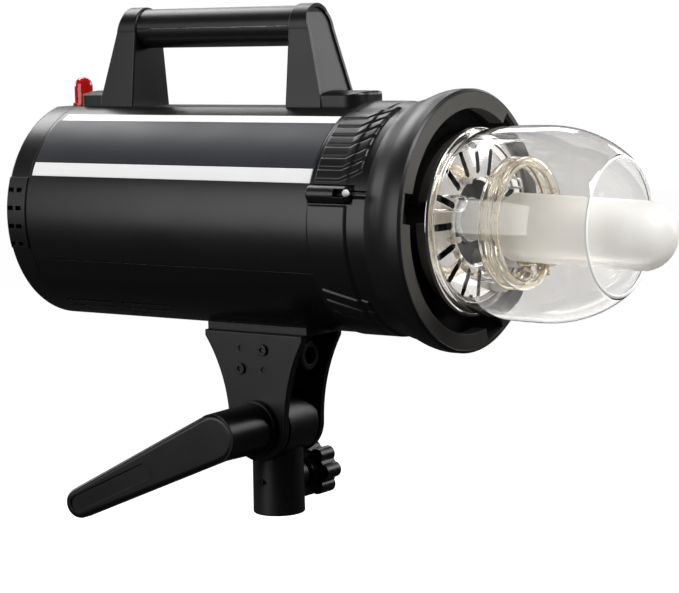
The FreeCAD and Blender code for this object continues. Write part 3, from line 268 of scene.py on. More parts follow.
def make_materials():
    """Materials by name: those that the record's slots name, and a few for visual pieces alone."""
    made = {}

    def keep(shade):
        made[shade.name] = shade.material
        return shade

    keep(moulded("casing_black", (0.007, 0.0069, 0.0068), 0.32, 2400, 0.000013, wear=0.10))
    keep(moulded("casing_lower", (0.005, 0.005, 0.0056), 0.27, 2800, 0.000008, wear=0.10))
    keep(moulded("handle_black", (0.007, 0.0069, 0.0068), 0.33, 2400, 0.000013, 0.36, wear=0.12))
    keep(moulded("knob_black", (0.006, 0.0059, 0.0058), 0.30, 1900, 0.000008, 0.42, wear=0.15))
    keep(moulded("cast_black", (0.006, 0.006, 0.006), 0.38, 1500, 0.00003, wear=0.25))
    keep(moulded("bell_black", (0.007, 0.007, 0.0075), 0.38, 2600, 0.000012, wear=0.12))
    # The bell face's grey is painted light: a lighter copy of the bell's black for the light falling on the
    # face.
    keep(moulded("bell_face", (0.068, 0.063, 0.057), 0.50, 2000, 0.00002, wear=0.15))
    keep(moulded("inner_black", (0.006, 0.006, 0.0063), 0.55, 1800, 0.00002, wear=0.2))
    keep(moulded("panel_grey", (0.027, 0.029, 0.037), 0.46, 3200, 0.00001, wear=0.2))
    # The stripes' white is their print; their glow is painted light.
    keep(moulded("stripe_white", (0.95, 0.95, 0.95), 0.42, 3200, 0.000005, wear=0.0)).glow(0.28)
    keep(moulded("black_screws", (0.010, 0.010, 0.011), 0.28, 1800, 0.000008, wear=0.9))
    keep(moulded("rocker_black", (0.008, 0.008, 0.009), 0.16, 2600, 0.000003, wear=0.3, spread=0.04))
    keep(moulded("button_grey", (0.14, 0.14, 0.15), 0.60, 2200, 0.00002, wear=0.3))
    keep(moulded("fibre", (0.20, 0.10, 0.05), 0.75, 1200, 0.00004, wear=0.2))
    keep(moulded("ceramic", (0.74, 0.70, 0.62), 0.40, 1400, 0.00001, wear=0.2))
    keep(moulded("circuit_board", (0.02, 0.13, 0.05), 0.40, 1400, 0.00002, wear=0.2))
    keep(metal("core_iron", (0.20, 0.20, 0.21), 0.45, (1, 40, 1)))
    keep(metal("screw_steel", (0.62, 0.62, 0.63), 0.24, (1, 12, 12)))
    keep(metal("spring_steel", (0.70, 0.70, 0.71), 0.16, (6, 6, 1)))
    keep(metal("zinc_steel", (0.52, 0.54, 0.57), 0.36, None))
    keep(metal("cap_aluminium", (0.74, 0.74, 0.75), 0.28, (1, 14, 14)))
    keep(metal("brass", (0.74, 0.55, 0.27), 0.24, (10, 1, 10)))
    keep(metal("trigger_wire", (0.62, 0.47, 0.27), 0.24, None))
    keep(glass("dome_glass", (0.80, 0.79, 0.78)))
    keep(glass("tube_glass", (0.97, 0.93, 0.83)))
    # Whitish ground edge of the glass; its glow is painted highlight for the light caught in the rim.
    keep(moulded("rim_painted_highlight", (0.88, 0.875, 0.86), 0.16, 1200, 0.000004, wear=0.0)).glow(0.30)
    keep(moulded("print_white", (0.72, 0.72, 0.72), 0.50, 2800, 0.000003, wear=0.0))
    keep(moulded("ghost_segment", (0.035, 0.040, 0.042), 0.22, 2800, 0.000002, wear=0.0))
    # The ball's near-white colour is painted highlight for a silver ball's glint.
    keep(moulded("ball_painted_highlight", (0.90, 0.90, 0.90), 0.22, 1800, 0.000002, wear=0.0, spread=0.04))

    s = keep(metal("chrome", (0.90, 0.885, 0.865), 0.07, None, spread=0.03, tarnish=0.93))
    spun = s.math("ADD", s.rings(5200, LAMP_Z), s.math("MULTIPLY", s.noise(700, 3), 1.2))
    s.bump(spun, 0.0000022, 1.0, s.soft_edges(0.0004))

    # Painted shade: the lamp's colour darkens towards the back, deep in the reflector; the small glow on each
    # is painted light.
    body_shades = ((0.170, (0.70, 0.68, 0.60)), (0.176, (0.84, 0.825, 0.78)),
                   (0.215, (0.88, 0.87, 0.84)), (0.240, (0.97, 0.96, 0.94)))
    neck_shades = ((0.140, (0.66, 0.64, 0.60)), (0.170, (0.80, 0.77, 0.68)))
    keep(frosted_lamp("frosted_glass", body_shades, 0.33, through=0.45, glow=0.085))
    keep(frosted_lamp("lamp_neck", neck_shades, 0.34, through=0.35, glow=0.06))

    display = moulded("display", (0.008, 0.010, 0.012), 0.08, 2600, 0.000002, wear=0.1)
    keep(display).set("Coat Weight", 0.6)

    s = keep(Shade("red_clear", (0.75, 0.012, 0.012), 0.10))
    s.set("Transmission Weight", 0.55).set("IOR", 1.45).set("Coat Weight", 0.5)
    s.link(s.remap(s.noise(70, 4), 0.3, 0.7, 0.06, 0.16), s.bsdf.inputs["Roughness"])
    tint = s.mix(s.noise(140, 3), (0.80, 0.016, 0.014, 1), (0.55, 0.006, 0.008, 1))
    s.link(tint, s.bsdf.inputs["Base Color"])
    s.bump(s.noise(240, 2), 0.00004, 0.5)
    return made


# ------------------------------------------------------------ mesh building blocks

def finish_piece(name, mesh, body, material, smooth=35.0):
    piece = bpy.data.objects.new(name, mesh)
    bpy.context.scene.collection.objects.link(piece)
    mesh.materials.append(material)
    for face in mesh.polygons:
        face.use_smooth = True
    if smooth:
        mesh.set_sharp_from_angle(angle=math.radians(smooth))
    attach(piece, body)
    return piece


def as_mesh(bm, name="piece"):
    """Turns a bmesh into a mesh and frees it."""
    mesh = bpy.data.meshes.new(name)
    bm.to_mesh(mesh)
    bm.free()
    return mesh


def pour(part, bm):
    """Adds a finished bmesh to another one and frees it."""
    mesh = as_mesh(part)
    bm.from_mesh(mesh)
    bpy.data.meshes.remove(mesh)


def mesh_from(build):
    """A mesh from a function that fills a bmesh."""
    bm = bmesh.new()
    build(bm)
    bmesh.ops.remove_doubles(bm, verts=bm.verts, dist=1e-7)
    bmesh.ops.recalc_face_normals(bm, faces=bm.faces)
    return as_mesh(bm)


def band(bm, low, high):
    """Faces between two closed rows of vertices."""
    for i in range(len(low)):
        j = (i + 1) % len(low)
        bm.faces.new((low[i], low[j], high[j], high[i]))


def add_lathe(bm, profile, centre_z=LAMP_Z, segments=96, centre_y=0.0, closed=True):
    """A surface of revolution about an axis along X: profile (x, r) in millimetres, centre in metres."""
    rows = []
    for x, r in profile:
        row = []
        for i in range(segments):
            a = 2 * math.pi * i / segments
            y = centre_y + r * MM * math.cos(a)
            z = centre_z + r * MM * math.sin(a)
            row.append(bm.verts.new((x * MM, y, z)))
        rows.append(row)
    pairs = list(zip(rows, rows[1:]))
    if closed:
        pairs.append((rows[-1], rows[0]))
    for low, high in pairs:
        band(bm, low, high)


def add_tube(bm, path, radius, sides=12, loop=False):
    """A round tube along points; metres. The radius is one number, or a list with one for each point."""
    count = len(path)
    radii = radius if isinstance(radius, list) else [radius] * count
    tangents = []
    for i in range(count):
        before = path[i - 1] if (loop or i > 0) else path[i]
        after = path[(i + 1) % count] if (loop or i < count - 1) else path[i]
        tangents.append((after - before).normalized())
    normal = tangents[0].orthogonal().normalized()
    rings = []
    for point, t, r in zip(path, tangents, radii):
        normal = (normal - t * normal.dot(t)).normalized()
        side = t.cross(normal)
        ring = []
        for k in range(sides):
            a = 2 * math.pi * k / sides
            ring.append(bm.verts.new(point + normal * (r * math.cos(a)) + side * (r * math.sin(a))))
        rings.append(ring)
    pairs = list(zip(rings, rings[1:]))
    if loop:
        pairs.append((rings[-1], rings[0]))
    for low, high in pairs:
        band(bm, low, high)
    if not loop:
        bm.faces.new(rings[0][::-1])
        bm.faces.new(rings[-1])


def on_ring(radius, angle, x, centre_z=LAMP_Z):
    """A point round the lamp's axis; radius and x in millimetres, angle 0 towards +Y, 90 up."""
    a = math.radians(angle)
    return Vector((x * MM, radius * MM * math.cos(a), centre_z + radius * MM * math.sin(a)))


# ------------------------------------------------------------ glass dome

HOLE_X = 226.7                   # plane of the opening
HOLE_R = 37.4
CROWN_X = 184.0                  # where the glass is widest
CROWN_R = 52.6
GLASS_WALL = 2.0
DOME_FOOT = [(141.0, 46.6), (142.6, 48.1), (144.5, 49.3), (147.5, 50.4),
             (151.0, 51.1), (157.0, 51.9), (164.0, 52.3), (174.0, 52.55)]
BEAD_R = 0.00088                 # metres


def dome_profile():
    """The glass wall's outline, outside then inside, in millimetres."""
    half = (HOLE_X - CROWN_X) / math.sqrt(1 - (HOLE_R / CROWN_R) ** 2)
    outer = list(DOME_FOOT)
    inner = [(x, r - GLASS_WALL) for x, r in DOME_FOOT]
    steps = 26
    for i in range(steps + 1):
        x = CROWN_X + (HOLE_X - CROWN_X) * i / steps
        r = CROWN_R * math.sqrt(max(0.0, 1 - ((x - CROWN_X) / half) ** 2))
        nx, nr = (x - CROWN_X) / half * CROWN_R / half, r / CROWN_R
        size = math.hypot(nx, nr)
        outer.append((x, r))
        inner.append((x - GLASS_WALL * nx / size, r - GLASS_WALL * nr / size))
    rim = []
    ox, orad = outer[-1]
    ix, irad = inner[-1]
    mid = ((ox + ix) / 2, (orad + irad) / 2)
    along = ((ox - ix) / 2, (orad - irad) / 2)
    ahead = (along[1], -along[0])
    for i in range(1, 6):
        a = math.pi * i / 6
        rim.append((mid[0] + along[0] * math.cos(a) + ahead[0] * 0.9 * math.sin(a),
                    mid[1] + along[1] * math.cos(a) + ahead[1] * 0.9 * math.sin(a)))
    return outer + rim + inner[::-1]


def make_dome(mats):
    mesh = mesh_from(lambda bm: add_lathe(bm, dome_profile(), segments=128))
    piece = finish_piece("glass_dome_blown", mesh, "head", mats["dome_glass"], 60)
    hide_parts("glass_dome")

    steps = 144
    ring = [on_ring(HOLE_R - 1.0, 360 * i / steps, HOLE_X - 0.2) for i in range(steps)]
    mesh = mesh_from(lambda bm: add_tube(bm, ring, BEAD_R, 12, loop=True))
    finish_piece("dome_rim_bead", mesh, "head", mats["rim_painted_highlight"], 0)


# ------------------------------------------------------------ front housing

HOUSING_R = 65.3
WAIST_R = 64.8
HOUSING_IN_R = 62.3
HOUSING_X = (71.5, 110.0)
SKIN_R = HOUSING_IN_R + 0.4      # least outer radius, so that some wall is left everywhere
FLAT_TOP = 62.0                  # height of the flat that carries on from the casing
FLAT_HALF = 20.0
SIDE_BAND = (-48.3, 12.3)        # heights of the raised band on each side, and where it ends
SIDE_BAND_X = 98.0
BARREL_END_X = 100.6
BARREL_BED_R = 5.1               # the bed that the barrel lies in
PIN_SLOT_HALF = 2.2
PAD_X = (74.6, 91.0)
PAD_E = (22.3, 65.7)             # elevation of the first and last groove, in degrees
PAD_COUNT = 7
SWEEP_END_X = 104.0
LOW_GROOVES = ((-30.0, -0.28), (-36.0, -0.33), (-43.0, -0.54), (-52.0, -0.92))   # start and slope


def smooth(t):
    t = min(1.0, max(0.0, t))
    return t * t * (3 - 2 * t)


def crowned(share):
    """Height of a pad across its width: full in the middle, rounded down into the grooves."""
    return 1 - 2.3 * abs(2 * share - 1) ** 9


def upper_pads(x, e):
    """Pads beside the label that sweep upwards towards the bell."""
    span = PAD_E[1] - PAD_E[0]
    lean = 5.0 + 4.0 * min(1.0, max(0.0, (e - PAD_E[0]) / span))
    e -= lean * max(0.0, x - PAD_X[1]) / (SWEEP_END_X - PAD_X[1])
    place = (e - PAD_E[0]) / span * PAD_COUNT
    if not 0 < place < PAD_COUNT:
        return 0.0
    ends = smooth((x - PAD_X[0]) / 0.9) * smooth((SWEEP_END_X - x) / 1.6)
    fall = 1.1 + 0.25 * smooth((x - PAD_X[1]) / 3.0)
    return fall * crowned(place % 1.0) * ends


def lower_pads(x, e):
    """Three longer pads below, sweeping down and forward."""
    lines = [start + slope * (x - 75.0) for start, slope in LOW_GROOVES]
    for upper, lower in zip(lines, lines[1:]):
        if lower < e < upper:
            ends = smooth((x - 75.0) / 0.9) * smooth((SWEEP_END_X - 1.0 - x) / 1.6)
            return 1.1 * crowned((e - lower) / (upper - lower)) * ends
    return 0.0


def housing_radius(x, angle):
    """Outer radius of the ribbed ring; angle 0 towards +Y, 90 up."""
    y = math.cos(math.radians(angle))
    e = math.degrees(math.asin(math.sin(math.radians(angle))))
    base = HOUSING_R + (WAIST_R - HOUSING_R) * smooth((x - 95.5) / 1.6)
    height = HOUSING_R * math.sin(math.radians(e))
    side = smooth((height - SIDE_BAND[0]) / 0.6) * smooth((SIDE_BAND[1] - height) / 0.6)
    side *= smooth((SIDE_BAND_X - x) / 1.2)
    base += 0.6 * side * smooth((x - 72.0) / 0.5)
    base += max(upper_pads(x, e), lower_pads(x, e))
    if x < 73.4 and base * math.sin(math.radians(e)) > FLAT_TOP and base * abs(y) < FLAT_HALF:
        base = FLAT_TOP / math.sin(math.radians(e))
    across = abs(math.radians((angle - BARREL_ANGLE + 180) % 360 - 180)) * BARREL_RADIUS
    if x < BARREL_END_X and across < BARREL_BED_R:
        base = min(base, BARREL_RADIUS - math.sqrt(max(0.0, BARREL_BED_R ** 2 - across ** 2)))
    if x >= BARREL_END_X and across < PIN_SLOT_HALF:
        base = SKIN_R
    return max(base, SKIN_R)


def make_housing(mats):
    columns = 84
    segments = 1080

    def build(bm):
        x0, x1 = HOUSING_X
        rows = []
        for i in range(columns + 1):
            x = x0 + (x1 - x0) * i / columns
            rim = 0.5 * (1 - smooth((x - x0) / 0.6)) + 0.5 * (1 - smooth((x1 - x) / 0.6))
            row = []
            for k in range(segments):
                angle = 360 * k / segments
                row.append(bm.verts.new(on_ring(housing_radius(x, angle) - rim, angle, x)))
            rows.append(row)
        for x in (x1, x0):
            rows.append([bm.verts.new(on_ring(HOUSING_IN_R, 360 * k / segments, x)) for k in range(segments)])
        for low, high in zip(rows, rows[1:] + rows[:1]):
            band(bm, low, high)

    mesh = mesh_from(build)
    piece = finish_piece("ribbed_housing", mesh, "head", mats["casing_black"], 50)
    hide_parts("front_housing")


# ------------------------------------------------------------ accessory catch

BALL_X = 98.7
BALL_R = 2.0
BALL_RADIUS = 68.6               # from the lamp's axis
STUD_END = 67.4
STUD_R = 0.001                   # metres
PIN_X = (87.0, 87.8, 124.6, 125.5, 125.95)
PIN_R = [0.0013, 0.0016, 0.0016, 0.0012, 0.0005]     # at each x, in metres

SPRING_X = 74.85                 # first turn of the wire
SPRING_LENGTH = 11.9
SPRING_PITCH = 1.8
SPRING_R = 1.3
SPRING_WIRE_R = 0.00025          # metres


def outwards(points, angle):
    """Points given as (x, radius, sideways) millimetres, set round the lamp's axis at an angle."""
    a = math.radians(angle)
    out = []
    for x, r, t in points:
        y = r * math.cos(a) - t * math.sin(a)
        z = r * math.sin(a) + t * math.cos(a)
        out.append(Vector((x * MM, y * MM, LAMP_Z + z * MM)))
    return out


def make_catch(mats):
    """The dark pin with its stud, and the bright ball that a thumb pulls back."""
    pin_path = outwards([(x, BARREL_RADIUS, 0) for x in PIN_X], BARREL_ANGLE)
    stud_path = outwards([(BALL_X, BARREL_RADIUS, 0), (BALL_X, STUD_END, 0)], BARREL_ANGLE)

    def build_pin(bm):
        add_tube(bm, pin_path, PIN_R, 24)
        add_tube(bm, stud_path, STUD_R, 20)

    pin = finish_piece("catch_pin", mesh_from(build_pin), "catch", mats["black_screws"], 40)
    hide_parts("lock_pin")

    ball_points = []
    ball_radii = []
    steps = 18
    for i in range(steps + 1):
        a = math.pi * (0.16 + 0.84 * i / steps)
        ball_points.append((BALL_X, BALL_RADIUS - BALL_R * math.cos(a), 0))
        ball_radii.append(max(0.00002, BALL_R * MM * math.sin(a)))
    path = outwards(ball_points, BARREL_ANGLE)
    mesh = mesh_from(lambda bm: add_tube(bm, path, ball_radii, 32))
    finish_piece("catch_ball", mesh, "catch", mats["ball_painted_highlight"], 0)


def make_spring(mats, slot_name):
    """The pin's return spring, which shortens as the pin is pulled back."""
    turns = SPRING_LENGTH / SPRING_PITCH
    steps = int(turns * 28)
    middle = on_ring(BARREL_RADIUS, BARREL_ANGLE, 0)
    points = []
    for i in range(steps + 1):
        a = 2 * math.pi * turns * i / steps
        x = (SPRING_X + SPRING_LENGTH * i / steps) * MM
        coil = SPRING_R * MM
        points.append(Vector((x, middle.y + coil * math.cos(a), middle.z + coil * math.sin(a))))
    mesh = mesh_from(lambda bm: add_tube(bm, points, SPRING_WIRE_R, 10))
    piece = finish_piece("pin_return_spring", mesh, "head", mats[slot_name], 0)
    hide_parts("pin_spring")
    # It is held at the closed end of the bore, and 0.51 of its length is left at full pull.
    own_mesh(piece)


# ------------------------------------------------------------ flash tube

# Radii of the tube and its wires, in metres.
TUBE_R = 0.0028
TUBE_BORE_R = 0.0017
ELECTRODE_R = 0.0011
WRAP_R = 0.00325                 # from the tube's centre line to the wire's
WRAP_WIRE_R = 0.00028
NEST_WIRE_R = 0.00034
NEST_SEED = 1                    # unseeded vector noise differs each run, and so does seed 0
TRIGGER_WIRE_R = 0.00022


def tube_path():
    """Centre line of the ring tube: up from one socket, twice round, down to the other."""
    first = [(144.6, 39.0, SOCKET_ANGLES[0]), (148.5, 39.0, SOCKET_ANGLES[0]), (155.0, 36.6, -63.0)]
    last = [(160.5, 36.8, -39.5), (151.0, 39.0, SOCKET_ANGLES[1]), (144.6, 39.0, SOCKET_ANGLES[1])]
    points = [on_ring(r, a, x) for x, r, a in first]
    steps = 132
    for i in range(steps + 1):
        turn = 702.0 * i / steps
        climb = 7.0 * smooth((turn - 336.0) / 30.0)
        settle = 2.5 * (1 - smooth(turn / 26.0)) - 3.5 * smooth((turn - 684.0) / 18.0) * 0.6
        points.append(on_ring(RING_R, -60.0 - turn, 163.5 + climb - settle))
    points += [on_ring(r, a, x) for x, r, a in last]
    return points


def smooth_path(points):
    """Corner cutting that keeps the ends."""
    cut = [points[0]]
    for a, b in zip(points, points[1:]):
        cut += [a.lerp(b, 0.25), a.lerp(b, 0.75)]
    return cut + [points[-1]]


def spiral(path, radius, turns, steps):
    """A wire wound round a path; radius in metres."""
    out = []
    for i in range(steps + 1):
        share = i / steps * (len(path) - 1)
        k = min(int(share), len(path) - 2)
        point = path[k].lerp(path[k + 1], share - k)
        along = (path[k + 1] - path[k]).normalized()
        side = along.cross(Vector((0.31, 0.22, 0.92))).normalized()
        over = along.cross(side)
        a = 2 * math.pi * turns * i / steps
        out.append(point + side * (radius * math.cos(a)) + over * (radius * math.sin(a)))
    return out


def make_flash_tube(mats):
    path = smooth_path(tube_path())
    bm = bmesh.new()
    add_tube(bm, path, TUBE_R, 20)
    bmesh.ops.recalc_face_normals(bm, faces=bm.faces)
    hollow = bmesh.new()
    add_tube(hollow, path[2:-2], TUBE_BORE_R, 16)
    bmesh.ops.recalc_face_normals(hollow, faces=hollow.faces)
    bmesh.ops.reverse_faces(hollow, faces=hollow.faces)
    pour(hollow, bm)
    piece = finish_piece("ring_tube", as_mesh(bm, "ring_tube"), "head", mats["tube_glass"], 0)
    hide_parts("flash_tube")

    ends = [path[:9], path[-9:]]

    def build_electrodes(bm):
        for end in ends:
            add_tube(bm, end, ELECTRODE_R, 14)
    finish_piece("electrodes", mesh_from(build_electrodes), "head", mats["core_iron"], 40)

    def build_wraps(bm):
        for end, turns in zip(ends, (11, 13)):
            add_tube(bm, spiral(end, WRAP_R, turns, turns * 16), WRAP_WIRE_R, 6)
    finish_piece("tube_end_wraps", mesh_from(build_wraps), "head", mats["trigger_wire"], 0)

    def build_nest(bm):
        noise.seed_set(NEST_SEED)
        middle = on_ring(RING_R + 1.0, -51.0, 167.5)
        for k in range(5):
            points = []
            for i in range(44):
                place = Vector((k * 7.3, i * 0.31, 0.0))
                drift = noise.noise_vector(place) * 0.0062 + noise.noise_vector(place * 3.1) * 0.0022
                points.append(middle + drift)
            add_tube(bm, smooth_path(points), NEST_WIRE_R, 6)
    finish_piece("trigger_nest", mesh_from(build_nest), "head", mats["trigger_wire"], 0)

    def build_trigger(bm):
        points = []
        steps = 720
        for i in range(steps + 1):
            share = i / steps
            a = 2 * math.pi * 11.5 * share
            wander = 0.35 * math.sin(31 * share) + 0.25 * math.sin(77 * share)
            points.append(on_ring(RING_R + 3.35 * math.cos(a), -33.0 + 321.0 * share,
                                  167.0 + wander + 6.75 * math.sin(a)))
        add_tube(bm, points, TRIGGER_WIRE_R, 6)
    mesh = mesh_from(build_trigger)
    wire = finish_piece("trigger_winding", mesh, "head", mats["trigger_wire"], 0)
    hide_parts("trigger_wire")


PILLAR_ANGLES = (121.0, 196.0, 284.0, 22.0)
PILLAR_RING_R = 27.0
PILLAR = [(139.8, 0.01), (139.8, 2.4), (141.2, 2.4), (141.6, 1.7), (144.6, 1.7), (145.0, 1.3), (145.0, 0.01)]
CELL_ANGLE = -18.0
CELL_RING_R = 45.4
CELL = [(139.8, 0.01), (139.8, 3.6), (143.6, 3.4), (144.4, 2.6), (144.4, 0.01)]


def make_dish_posts(mats):
    """Small pillars on the reflector round the lamp's opening, and the window of a cell."""
    def build(bm):
        for angle in PILLAR_ANGLES:
            base = on_ring(PILLAR_RING_R, angle, 0)
            add_lathe(bm, PILLAR, centre_z=base.z, segments=24, centre_y=base.y, closed=False)
    finish_piece("dish_pillars", mesh_from(build), "head", mats["ceramic"], 40)

    def build_cell(bm):
        spot = on_ring(CELL_RING_R, CELL_ANGLE, 0)
        add_lathe(bm, CELL, centre_z=spot.z, segments=28, centre_y=spot.y, closed=False)
    finish_piece("cell_window", mesh_from(build_cell), "head", mats["inner_black"], 40)


LAMP_BACK = Vector((0.1595, 0.0, 0.1732))     # where the body's axis meets its shoulder, in metres
LAMP_DROOP = math.radians(1.6)
SHOULDER_R = 5.5
NECK_Z = 0.176                   # metres
NECK_R = 11.1
LAMP_R = 18.5
LAMP_TIP_X = 258.0               # before the body is leant
AXIS_R = 0.02                    # as near the axis as an outline goes


def make_lamp(mats):
    """The neck tube, and the frosted body round its end, which leans down a little."""
    neck = [(133.6, NECK_R - 1.2), (133.6, NECK_R), (168.6, NECK_R), (169.9, NECK_R - 0.3),
            (170.8, NECK_R - 1.2), (171.0, NECK_R - 2.6), (171.0, AXIS_R), (169.8, AXIS_R),
            (169.6, NECK_R - 2.8), (168.8, NECK_R - 1.4)]
    mesh = mesh_from(lambda bm: add_lathe(bm, neck, NECK_Z, 72))
    finish_piece("lamp_neck", mesh, "head", mats["lamp_neck"], 50)

    back = LAMP_BACK.x / MM
    outline = [(back, AXIS_R), (back, NECK_R)]
    for i in range(9):
        a = math.pi / 2 * i / 8
        outline.append((back + SHOULDER_R * (1 - math.cos(a)), LAMP_R - SHOULDER_R * (1 - math.sin(a))))
    outline += [(x, LAMP_R) for x in (180.0, 195.0, 210.0, 225.0)]
    for i in range(17):
        a = math.pi / 2 * i / 16
        outline.append((LAMP_TIP_X - LAMP_R + LAMP_R * math.sin(a), max(AXIS_R, LAMP_R * math.cos(a))))
    bm = bmesh.new()
    add_lathe(bm, outline, LAMP_BACK.z, 96, closed=False)
    bmesh.ops.holes_fill(bm, edges=[e for e in bm.edges if e.is_boundary], sides=0)
    bmesh.ops.rotate(bm, verts=bm.verts, cent=LAMP_BACK, matrix=Matrix.Rotation(LAMP_DROOP, 3, "Y"))
    bmesh.ops.recalc_face_normals(bm, faces=bm.faces)
    mesh = as_mesh(bm, "lamp_body")
    piece = finish_piece("lamp_body", mesh, "head", mats["frosted_glass"], 50)
    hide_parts("lamp_glass")


# ------------------------------------------------------------ rear panel

DIAL = (-22.0, 163.0)            # y and z of the dial's centre, in millimetres
TICK_R = 14.4
TICK_COUNT = 11
BUTTONS = ((8.0, 168.0), (28.0, 168.0))
SCREW_RING_R = 54.5
SCREW_ANGLES = (40.0, 140.0, 223.0, -43.0)
SCREW_TURNS = (12, 57, 33, 78)   # how far each screw's cross has been turned
PRINT_X = PANEL_X - 0.06         # middle of the print on the panel
SEGMENT_X = PANEL_X - 1.24       # of the figures on the display
CROSS_X = PANEL_X - 1.42         # of the crosses in the screw heads
DIGITS_Y = (-11.0, 0.0, 11.0)
DIGITS_Z = 199.0
DIGIT_TALL = 13.0
BAR = 0.9                        # width of a figure's bar


def slab(bm, x, y, z, size_y, size_z, thick=0.25, angle=0.0):
    """A thin printed mark, or a dark plate of painted shade for a recess, that faces back, turned about X;
    millimetres.
    """
    size = Vector((thick, size_y, size_z)) * MM
    turn = Matrix.Rotation(math.radians(angle), 3, "X")
    part = bmesh.new()
    bmesh.ops.create_cube(part, size=1.0)
    for v in part.verts:
        v.co = Vector((v.co.x * size.x, v.co.y * size.y, v.co.z * size.z))
    bmesh.ops.bevel(part, geom=part.edges[:], offset=0.04 * MM, segments=2, profile=0.6, affect="EDGES")
    bmesh.ops.rotate(part, verts=part.verts, cent=(0, 0, 0), matrix=turn)
    bmesh.ops.translate(part, verts=part.verts, vec=Vector((x * MM, y * MM, z * MM)))
    pour(part, bm)


def digit(bm, y, z, tall):
    """All seven segments of an unlit figure; a bar is (sideways, up, lies flat)."""
    half = tall / 2
    wide = tall * 0.5
    bars = [(0, tall, 1), (-wide / 2, tall * 0.75, 0), (-wide / 2, tall * 0.25, 0), (0, 0, 1),
            (wide / 2, tall * 0.25, 0), (wide / 2, tall * 0.75, 0), (0, half, 1)]
    for dy, dz, flat in bars:
        size = (wide * 0.72, BAR) if flat else (BAR, tall * 0.38)
        slab(bm, SEGMENT_X, y + dy, z - half + dz, size[0], size[1], 0.16)


def make_rear(mats):
    """Print, figures and screw crosses on the back, which the photo doesn't show."""
    y, z = DIAL

    def build_ticks(bm):
        for k in range(TICK_COUNT):
            a = math.radians(225 - 27 * k)
            long = 2.2 if k % 5 == 0 else 1.3
            slab(bm, PRINT_X, y + TICK_R * math.cos(a), z + TICK_R * math.sin(a), long, 0.45, 0.2,
                 math.degrees(a))
        for by, bz in BUTTONS:
            slab(bm, PRINT_X, by, bz + 6.4, 5.0, 0.45, 0.2)
    finish_piece("dial_ticks", mesh_from(build_ticks), "head", mats["print_white"], 40)

    mesh = mesh_from(lambda bm: slab(bm, PANEL_X - 5.2, y, z + 11.0, 1.0, 0.3, 5.8))
    finish_piece("dial_pointer", mesh, "dial", mats["print_white"], 40)

    def build_segments(bm):
        for dy in DIGITS_Y:
            digit(bm, dy, DIGITS_Z, DIGIT_TALL)
        slab(bm, SEGMENT_X, -5.5, 193.0, 1.1, 1.1, 0.16)
    finish_piece("ghost_segments", mesh_from(build_segments), "head", mats["ghost_segment"], 40)

    # Painted shade: dark crosses stand for the shaded recesses in the screw heads.
    def build_crosses(bm):
        for turn, a in zip(SCREW_TURNS, SCREW_ANGLES):
            spot = on_ring(SCREW_RING_R, a, 0)
            for extra in (0, 90):
                slab(bm, CROSS_X, spot.y / MM, spot.z / MM, 3.2, 0.7, 0.14, turn + extra)
    finish_piece("screw_cross_shade", mesh_from(build_crosses), "head", mats["inner_black"], 40)


# ------------------------------------------------------------ scene

FLOOR_Z = -0.42
LIGHTS = (                       # name, place, aim, size in metres, power in watts
    ("key", (-0.57, -1.63, 0.47), (0.05, 0.0, 0.18), (1.40, 1.08), 13.5),
    ("rim", (-1.15, 0.45, 1.45), (0.02, 0.0, 0.2), (0.9, 0.6), 13.5),
    ("back", (-0.85, 1.35, 1.05), (0.0, 0.0, 0.25), (0.9, 0.35), 3.5),
    ("front", (1.35, 0.10, 1.25), (0.14, 0.0, 0.17), (0.8, 0.6), 27),
    ("far", (0.55, 1.80, 0.75), (0.1, 0.0, 0.18), (1.5, 0.7), 13),
    ("tail", (-1.9, 0.1, 0.55), (-0.14, 0.0, 0.17), (0.8, 0.6), 9),
    ("low", (-0.5, -0.7, -0.36), (0.0, 0.0, 0.15), (1.2, 0.8), 0.06),
)


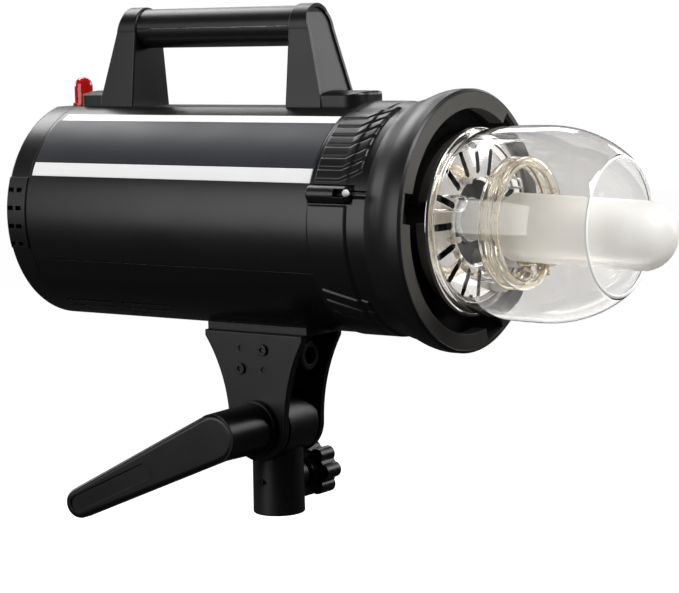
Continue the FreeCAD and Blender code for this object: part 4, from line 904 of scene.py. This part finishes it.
def area_light(name, at, aim, size, power):
    data = bpy.data.lights.new(name, "AREA")
    data.shape = "RECTANGLE"
    data.size, data.size_y = size
    data.energy = power
    light = bpy.data.objects.new(name, data)
    light.location = at
    light.rotation_euler = (Vector(aim) - Vector(at)).to_track_quat("-Z", "Y").to_euler()
    light.visible_camera = False
    bpy.context.scene.collection.objects.link(light)


def stage_piece(name, bm, shade):
    """Paper behind or below the part, which the part's own surfaces don't mirror."""
    mesh = as_mesh(bm, name)
    mesh.materials.append(shade.material)
    piece = bpy.data.objects.new(name, mesh)
    piece.visible_diffuse = False
    piece.visible_glossy = False
    bpy.context.scene.collection.objects.link(piece)
    return piece


def make_stage():
    bm = bmesh.new()
    bmesh.ops.create_circle(bm, cap_ends=True, segments=96, radius=9.0)
    s = Shade("floor_paper", (0.92, 0.92, 0.92), 0.9, spec=0.1).glow(0.95)
    s.link(s.mix(s.noise(3, 3), (0.93, 0.93, 0.93, 1), (0.90, 0.90, 0.90, 1)), s.bsdf.inputs["Base Color"])
    floor = stage_piece("floor", bm, s)
    floor.location = (0, 0, FLOOR_Z)

    bm = bmesh.new()
    bmesh.ops.create_uvsphere(bm, u_segments=64, v_segments=32, radius=8.0)
    paper = Shade("backdrop_paper", (0, 0, 0), 1.0, spec=0.0).glow(1.0)
    dome = stage_piece("backdrop", bm, paper)
    dome.visible_shadow = False

    world = bpy.data.worlds.new("studio")
    world.use_nodes = True
    bpy.context.scene.world = world
    background = next(n for n in world.node_tree.nodes if n.type == "BACKGROUND")
    background.inputs["Color"].default_value = WHITE
    background.inputs["Strength"].default_value = 0.03

    for row in LIGHTS:
        area_light(*row)
    bpy.context.scene.view_settings.view_transform = "Standard"


def main():
    place_camera()
    mats = make_materials()
    slots = {row["node"]: row["material_slot"] for row in frame["record"]["subparts"]}
    for name, node in NODE.items():
        node.data.materials.clear()
        # The plug screw is black: painted shade for the dark hole it sits in, where the slot's other screws
        # are bright steel.
        shade = "black_screws" if name == "socket_grub_screw" else slots[name]
        node.data.materials.append(mats[shade])
    make_dome(mats)
    make_housing(mats)
    make_catch(mats)
    make_spring(mats, slots["pin_spring"])
    make_flash_tube(mats)
    make_dish_posts(mats)
    make_lamp(mats)
    make_rear(mats)
    make_stage()


main()
